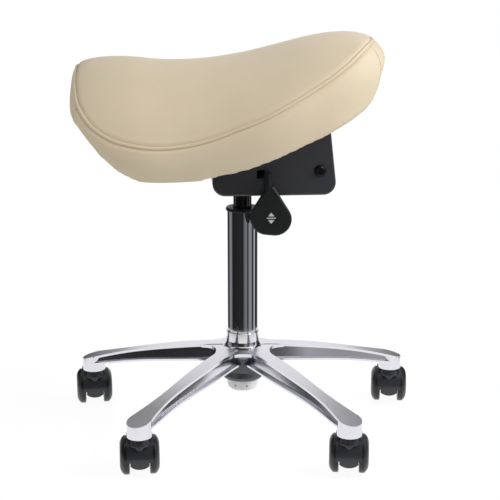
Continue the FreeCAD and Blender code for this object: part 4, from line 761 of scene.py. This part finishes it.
class STOOL_OT_saddle(Operator):
    """Build the upholstered saddle: padded body, seam welt and underside cover"""

    bl_idname = "stool.saddle"
    bl_label = "Saddle"

    def execute(self, context):
        settings = context.scene.stool_saddle
        body = self.padded_body(settings)
        self.welts(settings, body)
        self.underside()
        self.board()
        return {"FINISHED"}

    def padded_body(self, settings):
        """The foam and its cover as one body, swollen by cloth pressure."""
        points, faces = saddle_surface(81, settings.bulge / MM)
        body = outward(new_object("saddle_upholstery", points * MM, faces))
        filled_out(body, FULLNESS)
        body.data.materials.clear()
        paint(body, leather_material("top leather", settings.leather, settings.shade, settings.grain))
        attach(body, "seat")
        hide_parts("seat_top_panel", "seat_side_band", "seat_foam")
        return body

    def welts(self, settings, body):
        """The raised seam round the top panel and the band's joins, each laid in its own groove."""
        skin, normals = mesh_points(body), mesh_normals(body)
        line = seam_line(600) * MM
        paths = [(line, True, settings.welt_width / 2)]
        rim = line / MM
        normal = ring_normals(rim[:, :2])
        foot = band_foot(rim[:, :2] + normal * 2.0)
        for side in (-1, 1):
            for spot in ((-251.0, 138.0), (190.0, 68.0)):
                corner = np.argmin(np.abs(rim[:, 0] - spot[0]) + np.abs(rim[:, 1] - side * spot[1]))
                join = [band_point(rim[[corner]], normal[[corner]], foot[[corner]], settings.bulge / MM, t)[0]
                        for t in np.linspace(0.03, 1.0, 40)]
                paths.append((np.array(join) * MM, False, settings.welt_width / 5))
        sunk = np.zeros(len(skin))
        laid = []
        for path, closed, width in paths:
            at, gap = nearest(path, skin)
            lift = ((skin[at] - path) * normals[at]).sum(axis=1)
            if closed:
                lift = evened(lift, 12)
            else:
                lift = np.convolve(np.pad(lift, 4, mode="edge"), np.ones(9) / 9, "valid")
            path = path + normals[at] * lift[:, None]
            if closed:
                path = evened(path, 3)
            laid.append((path, closed, width))
            back, distance = nearest(skin, path)
            sunk = sunk + (width * 0.75) * np.exp(-(distance / (width * 1.45)) ** 2)
            sunk = sunk - (width * 0.22) * np.exp(-((distance - width * 3.2) / (width * 1.6)) ** 2)
        set_points(body, skin - normals * sunk[:, None])
        for index, (path, closed, width) in enumerate(laid):
            name = "band_join_%d" % index if index else "seam_welt"
            self.welt_tube(name, path, closed, width, skin, normals)

    def welt_tube(self, name, path, closed, width, skin, normals):
        """A flattened tube along a path: an ellipse, wide along the skin and low across it."""
        if closed:
            tangent = np.roll(path, -1, axis=0) - np.roll(path, 1, axis=0)
        else:
            tangent = np.gradient(path, axis=0)
        tangent /= np.linalg.norm(tangent, axis=1)[:, None]
        out = normals[nearest(path, skin)[0]]
        out = evened(out, 20) if closed else out
        out -= (out * tangent).sum(axis=1)[:, None] * tangent
        out /= np.linalg.norm(out, axis=1)[:, None]
        over = np.cross(out, tangent)
        turn = np.linspace(0, 2 * math.pi, 16, endpoint=False)
        section = (np.cos(turn)[None, :, None] * over[:, None, :] * width
                   + np.sin(turn)[None, :, None] * out[:, None, :] * width * 0.8)
        points = (path[:, None, :] + section - out[:, None, :] * width * 0.12).reshape(-1, 3)
        strip = outward(new_object(name, points, grid_faces(len(path), 16, closed, True)))
        settings = bpy.context.scene.stool_saddle
        paint(strip, leather_material("welt leather", settings.leather, settings.shade, settings.grain))
        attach(strip, "seat")

    def board(self):
        """The moulded plywood shell inside the foam, on the hollow's arc and drawn in from the band."""
        plan, radius, reach, height = inset_disc(61, 24.0, hollow_height)
        points = np.stack([plan[..., 0], plan[..., 1], height + 9.5], axis=-1).reshape(-1, 3)
        shell = new_object("plywood_shell", points * MM, grid_faces(61, 61))
        thick = shell.modifiers.new("ply thickness", "SOLIDIFY")
        thick.thickness = 0.009
        thick.offset = 0
        paint(shell, finish("beech plywood"))
        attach(shell, "seat")
        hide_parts("seat_board")

    def underside(self):
        """The dark cloth over the hollow below, open where the riser passes through it."""
        plan, radius, reach, height = inset_disc(91, 17.0, hollow_height)
        sag = 1.8 + 1.2 * np.sin(plan[..., 0] / 31) * np.sin(plan[..., 1] / 27) * (1 - radius ** 2) ** 2
        points = np.stack([plan[..., 0], plan[..., 1], height - sag], axis=-1).reshape(-1, 3)
        faces = grid_faces(91, 91)
        middle = points[faces].mean(axis=1)
        riser = (np.abs(middle[:, 0] - 35) < 95) & (np.abs(middle[:, 1]) < 55)
        cloth = new_object("underside_cloth", points * MM, faces[~riser])
        thick = cloth.modifiers.new("cloth thickness", "SOLIDIFY")
        thick.thickness = 0.0012
        thick.offset = 0
        paint(cloth, finish("underside cloth"))
        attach(cloth, "seat")
        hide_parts("seat_under_cover")


class STOOL_OT_mechanism(Operator):
    """Finish the tilt housing, bracket, lock and control lever"""

    bl_idname = "stool.mechanism"
    bl_label = "Mechanism"

    def execute(self, context):
        dress(finish("housing enamel"), "tilt_housing", "seat_bracket", "taper_bush")
        dress(finish("blackened steel"), "pivot_bolt", "pivot_nut", "lever_rod", "lock_slider", "fulcrum_pin")
        dress(finish("bright steel"), "pivot_tube", "lock_quadrant", "seat_bolts", "seat_tee_nuts",
              "release_pin")
        dress(finish("black nylon"), "slide_guide", "pivot_bushes", "friction_washers")
        dress(finish("paddle plastic"), "lever_paddle")
        dress(finish("beech plywood"), "seat_riser")
        self.glyph()
        return {"FINISHED"}

    def glyph(self):
        """The paddle's raised pale mark: an arrowhead up, a bar and an arrowhead down."""
        low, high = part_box("lever_paddle")
        middle = (low[0] + high[0]) / 2
        near = low[1]
        outlines = (((-5, 3), (5, 3), (0, 9)), ((-5, -3), (0, -9), (5, -3)),
            ((-7, -0.8), (7, -0.8), (7, 0.8), (-7, 0.8)))
        points, faces = [], []
        for outline in outlines:
            first = len(points)
            points += [(middle + x * MM, near - 0.0003, low[2] + MARK_HEIGHT + z * MM) for x, z in outline]
            faces.append(tuple(range(first, len(points))))
        mark = new_object("paddle_mark", points, faces, smooth=False)
        thick = mark.modifiers.new("mark thickness", "SOLIDIFY")
        thick.thickness = 0.0006
        thick.offset = 0
        paint(mark, finish("mark paint"))
        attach(mark, "lever")


class STOOL_OT_column(Operator):
    """Finish the height column and its lift"""

    bl_idname = "stool.column"
    bl_label = "Column"

    def execute(self, context):
        dress(finish("column chrome"), "column_tube")
        dress(finish("lift enamel"), "lift_cylinder")
        dress(finish("black nylon"), "column_guide", "lift_gland", "piston_head")
        dress(finish("bright steel"), "piston_rod", "rod_clip", "thrust_bearing")
        dress(finish("black rubber"), "rod_buffer")
        return {"FINISHED"}


class STOOL_OT_base(Operator):
    """Finish the cast star base and its cap"""

    bl_idname = "stool.base"
    bl_label = "Base"

    def execute(self, context):
        dress(alloy_material(), "base_star")
        dress(finish("black nylon"), "stem_sleeves")
        dress(finish("white nylon"), "base_cap")
        return {"FINISHED"}


class STOOL_OT_casters(Operator):
    """Finish the twin-wheel casters"""

    bl_idname = "stool.casters"
    bl_label = "Casters"

    def execute(self, context):
        for index in CASTERS:
            dress(finish("hood plastic"), "caster_hood_%d" % index)
            dress(finish("wheel plastic"), "wheel_left_%d" % index, "wheel_right_%d" % index)
            dress(finish("blackened steel"), "caster_stem_%d" % index)
            dress(finish("bright steel"), "caster_axle_%d" % index)
        return {"FINISHED"}


class STOOL_OT_stage(Operator):
    """Set up the floor, backdrop, lamps and camera"""

    bl_idname = "stool.stage"
    bl_label = "Stage"

    def execute(self, context):
        settings = context.scene.stool_stage
        scene = context.scene
        scene.view_settings.view_transform = "Standard"
        self.world(scene, settings)
        self.floor()
        self.flags(settings)
        self.lamp("key lamp", KEY_PLACE, KEY_TARGET, KEY_SIZE, settings.key)
        self.lamp("fill lamp", FILL_PLACE, FILL_TARGET, FILL_SIZE, settings.fill)
        self.camera(scene)
        return {"FINISHED"}

    def world(self, scene, settings):
        """Soft surrounding light that is white behind the stool and in its reflections."""
        world = bpy.data.worlds.new("studio air")
        scene.world = world
        world.use_nodes = True
        tree = world.node_tree
        light = tree.nodes["Background"]
        light.inputs["Color"].default_value = (1, 1, 1, 1)
        path = node(tree, "ShaderNodeLightPath", (-600, 0))
        seen = node(tree, "ShaderNodeMath", (-400, 0), operation="MAXIMUM")
        wire(tree, path, "Is Camera Ray", seen, 0)
        wire(tree, path, "Is Glossy Ray", seen, 1)
        strength = node(tree, "ShaderNodeMapRange", (-200, 0))
        strength.inputs["To Min"].default_value = settings.ambient
        strength.inputs["To Max"].default_value = 1.0
        wire(tree, seen, 0, strength, "Value")
        wire(tree, strength, "Result", light, "Strength")

    def floor(self):
        """A wide white floor that keeps the stool's shadow."""
        size = 6.0
        piece = new_object("studio_floor", [(-size, -size, 0), (size, -size, 0), (size, size, 0),
            (-size, size, 0)],
                           [(0, 1, 2, 3)], smooth=False)
        material = bpy.data.materials.new("studio floor")
        material.use_nodes = True
        tree = material.node_tree
        shader = tree.nodes["Principled BSDF"]
        shader.inputs["Base Color"].default_value = (0.86, 0.86, 0.86, 1)
        shader.inputs["Roughness"].default_value = 0.12
        bright = node(tree, "ShaderNodeEmission", (-200, -300))
        bright.inputs["Color"].default_value = (1, 1, 1, 1)
        bright.inputs["Strength"].default_value = 1.08
        path = node(tree, "ShaderNodeLightPath", (-500, 200))
        seen = node(tree, "ShaderNodeMath", (-300, 200), operation="MAXIMUM")
        wire(tree, path, "Is Camera Ray", seen, 0)
        wire(tree, path, "Is Glossy Ray", seen, 1)
        share = node(tree, "ShaderNodeMath", (-100, 200), operation="MULTIPLY")
        share.inputs[1].default_value = 0.86
        wire(tree, seen, 0, share, 0)
        mix = node(tree, "ShaderNodeMixShader", (200, 0))
        wire(tree, share, 0, mix, "Fac")
        wire(tree, shader, "BSDF", mix, 1)
        wire(tree, bright, "Emission", mix, 2)
        wire(tree, mix, "Shader", tree.nodes["Material Output"], "Surface")
        paint(piece, material)

    def flags(self, settings):
        """The dark flags round the front of the stool with slits of light, which only the metal mirrors.

        They stand on an arc; each point lies at the flag distance in a direction between the arc's ends,
        and the slits are set by direction from the line to the camera, in degrees.
        """
        turn = np.radians(np.linspace(-150, 150, 181))
        toward = math.atan2(-0.9977, -0.0675)
        ring = np.stack([np.cos(toward + turn), np.sin(toward + turn)], axis=1) * settings.flag_radius
        rise = np.array((0.001, settings.flag_height))
        points = np.concatenate([np.concatenate([ring, np.full((len(ring), 1), z)], axis=1) for z in rise])
        wall = new_object("studio_flags", points, grid_faces(2, len(ring)))
        share = wall.data.attributes.new("direction", "FLOAT", "POINT")
        share.data.foreach_set("value", np.tile(np.linspace(0, 1, len(ring)), 2).astype(np.float32))
        material = bpy.data.materials.new("studio flags")
        material.use_nodes = True
        tree = material.node_tree
        tree.nodes.remove(tree.nodes["Principled BSDF"])
        place = node(tree, "ShaderNodeAttribute", (-600, 0), attribute_name="direction")
        ramp = node(tree, "ShaderNodeValToRGB", (-400, 0))
        light = node(tree, "ShaderNodeEmission", (0, 0))
        levels = (
            (-150, 0.5), (-135, 0.02), (-118, 0.02), (-108, 0.35), (-90, 0.30), (-78, 0.02), (-20, 0.03),
            (5, 0.03), (13, 0.18), (27, 0.30), (36, 0.06), (44, 0.12), (54, 0.42), (70, 0.30), (78, 0.03),
            (88, 0.04), (94, 0.7), (102, 0.7), (108, 0.02), (135, 0.02), (150, 0.6))
        colors = ramp.color_ramp.elements
        while len(colors) < len(levels):
            colors.new(0.5)
        for entry, (direction, level) in zip(colors, levels):
            entry.position = (direction + 150) / 300
            entry.color = (level, level, level * 1.02, 1)
        wire(tree, place, "Fac", ramp, "Fac")
        wire(tree, ramp, "Color", light, "Color")
        wire(tree, light, "Emission", tree.nodes["Material Output"], "Surface")
        paint(wall, material)
        for kind in ("visible_camera", "visible_diffuse", "visible_transmission", "visible_shadow"):
            setattr(wall, kind, False)

    def lamp(self, name, place, target, size, power):
        """One soft area lamp aimed at the stool."""
        data = bpy.data.lights.new(name, "AREA")
        data.shape = "DISK"
        data.size = size
        data.energy = power
        lamp = bpy.data.objects.new(name, data)
        lamp.location = place
        lamp.rotation_euler = (Vector(target) - Vector(place)).to_track_quat("-Z", "Y").to_euler()
        bpy.context.scene.collection.objects.link(lamp)

    def camera(self, scene):
        """The camera at the photograph's place and lens."""
        data = bpy.data.cameras.new("view camera")
        data.sensor_width = 36.0
        data.lens = CAMERA_LENS
        data.clip_end = 50.0
        camera = bpy.data.objects.new("view camera", data)
        camera.location = CAMERA_PLACE
        camera.rotation_euler = Vector(CAMERA_DIRECTION).to_track_quat("-Z", "Y").to_euler()
        scene.collection.objects.link(camera)
        scene.camera = camera


class STOOL_PT_panel(Panel):
    """Sidebar panel with the stool's pieces and settings."""

    bl_label = "Saddle Stool"
    bl_idname = "STOOL_PT_panel"
    bl_space_type = "VIEW_3D"
    bl_region_type = "UI"
    bl_category = "Saddle Stool"

    def draw(self, context):
        layout = self.layout
        for operator in PIECES:
            layout.operator(operator.bl_idname)
        for group in (context.scene.stool_saddle, context.scene.stool_metal, context.scene.stool_stage):
            box = layout.box()
            for key in group.__annotations__:
                box.prop(group, key)


PIECES = (STOOL_OT_saddle, STOOL_OT_mechanism, STOOL_OT_column, STOOL_OT_base, STOOL_OT_casters,
    STOOL_OT_stage)
CLASSES = (SaddleSettings, MetalSettings, StageSettings) + PIECES + (STOOL_PT_panel,)


def register():
    for entry in CLASSES:
        bpy.utils.register_class(entry)
    bpy.types.Scene.stool_saddle = PointerProperty(type=SaddleSettings)
    bpy.types.Scene.stool_metal = PointerProperty(type=MetalSettings)
    bpy.types.Scene.stool_stage = PointerProperty(type=StageSettings)


def unregister():
    for name in ("stool_stage", "stool_metal", "stool_saddle"):
        delattr(bpy.types.Scene, name)
    for entry in reversed(CLASSES):
        bpy.utils.unregister_class(entry)


def main():
    """Registers the add-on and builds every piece."""
    register()
    bpy.ops.stool.saddle()
    bpy.ops.stool.mechanism()
    bpy.ops.stool.column()
    bpy.ops.stool.base()
    bpy.ops.stool.casters()
    bpy.ops.stool.stage()


if __name__ == "__main__":
    main()
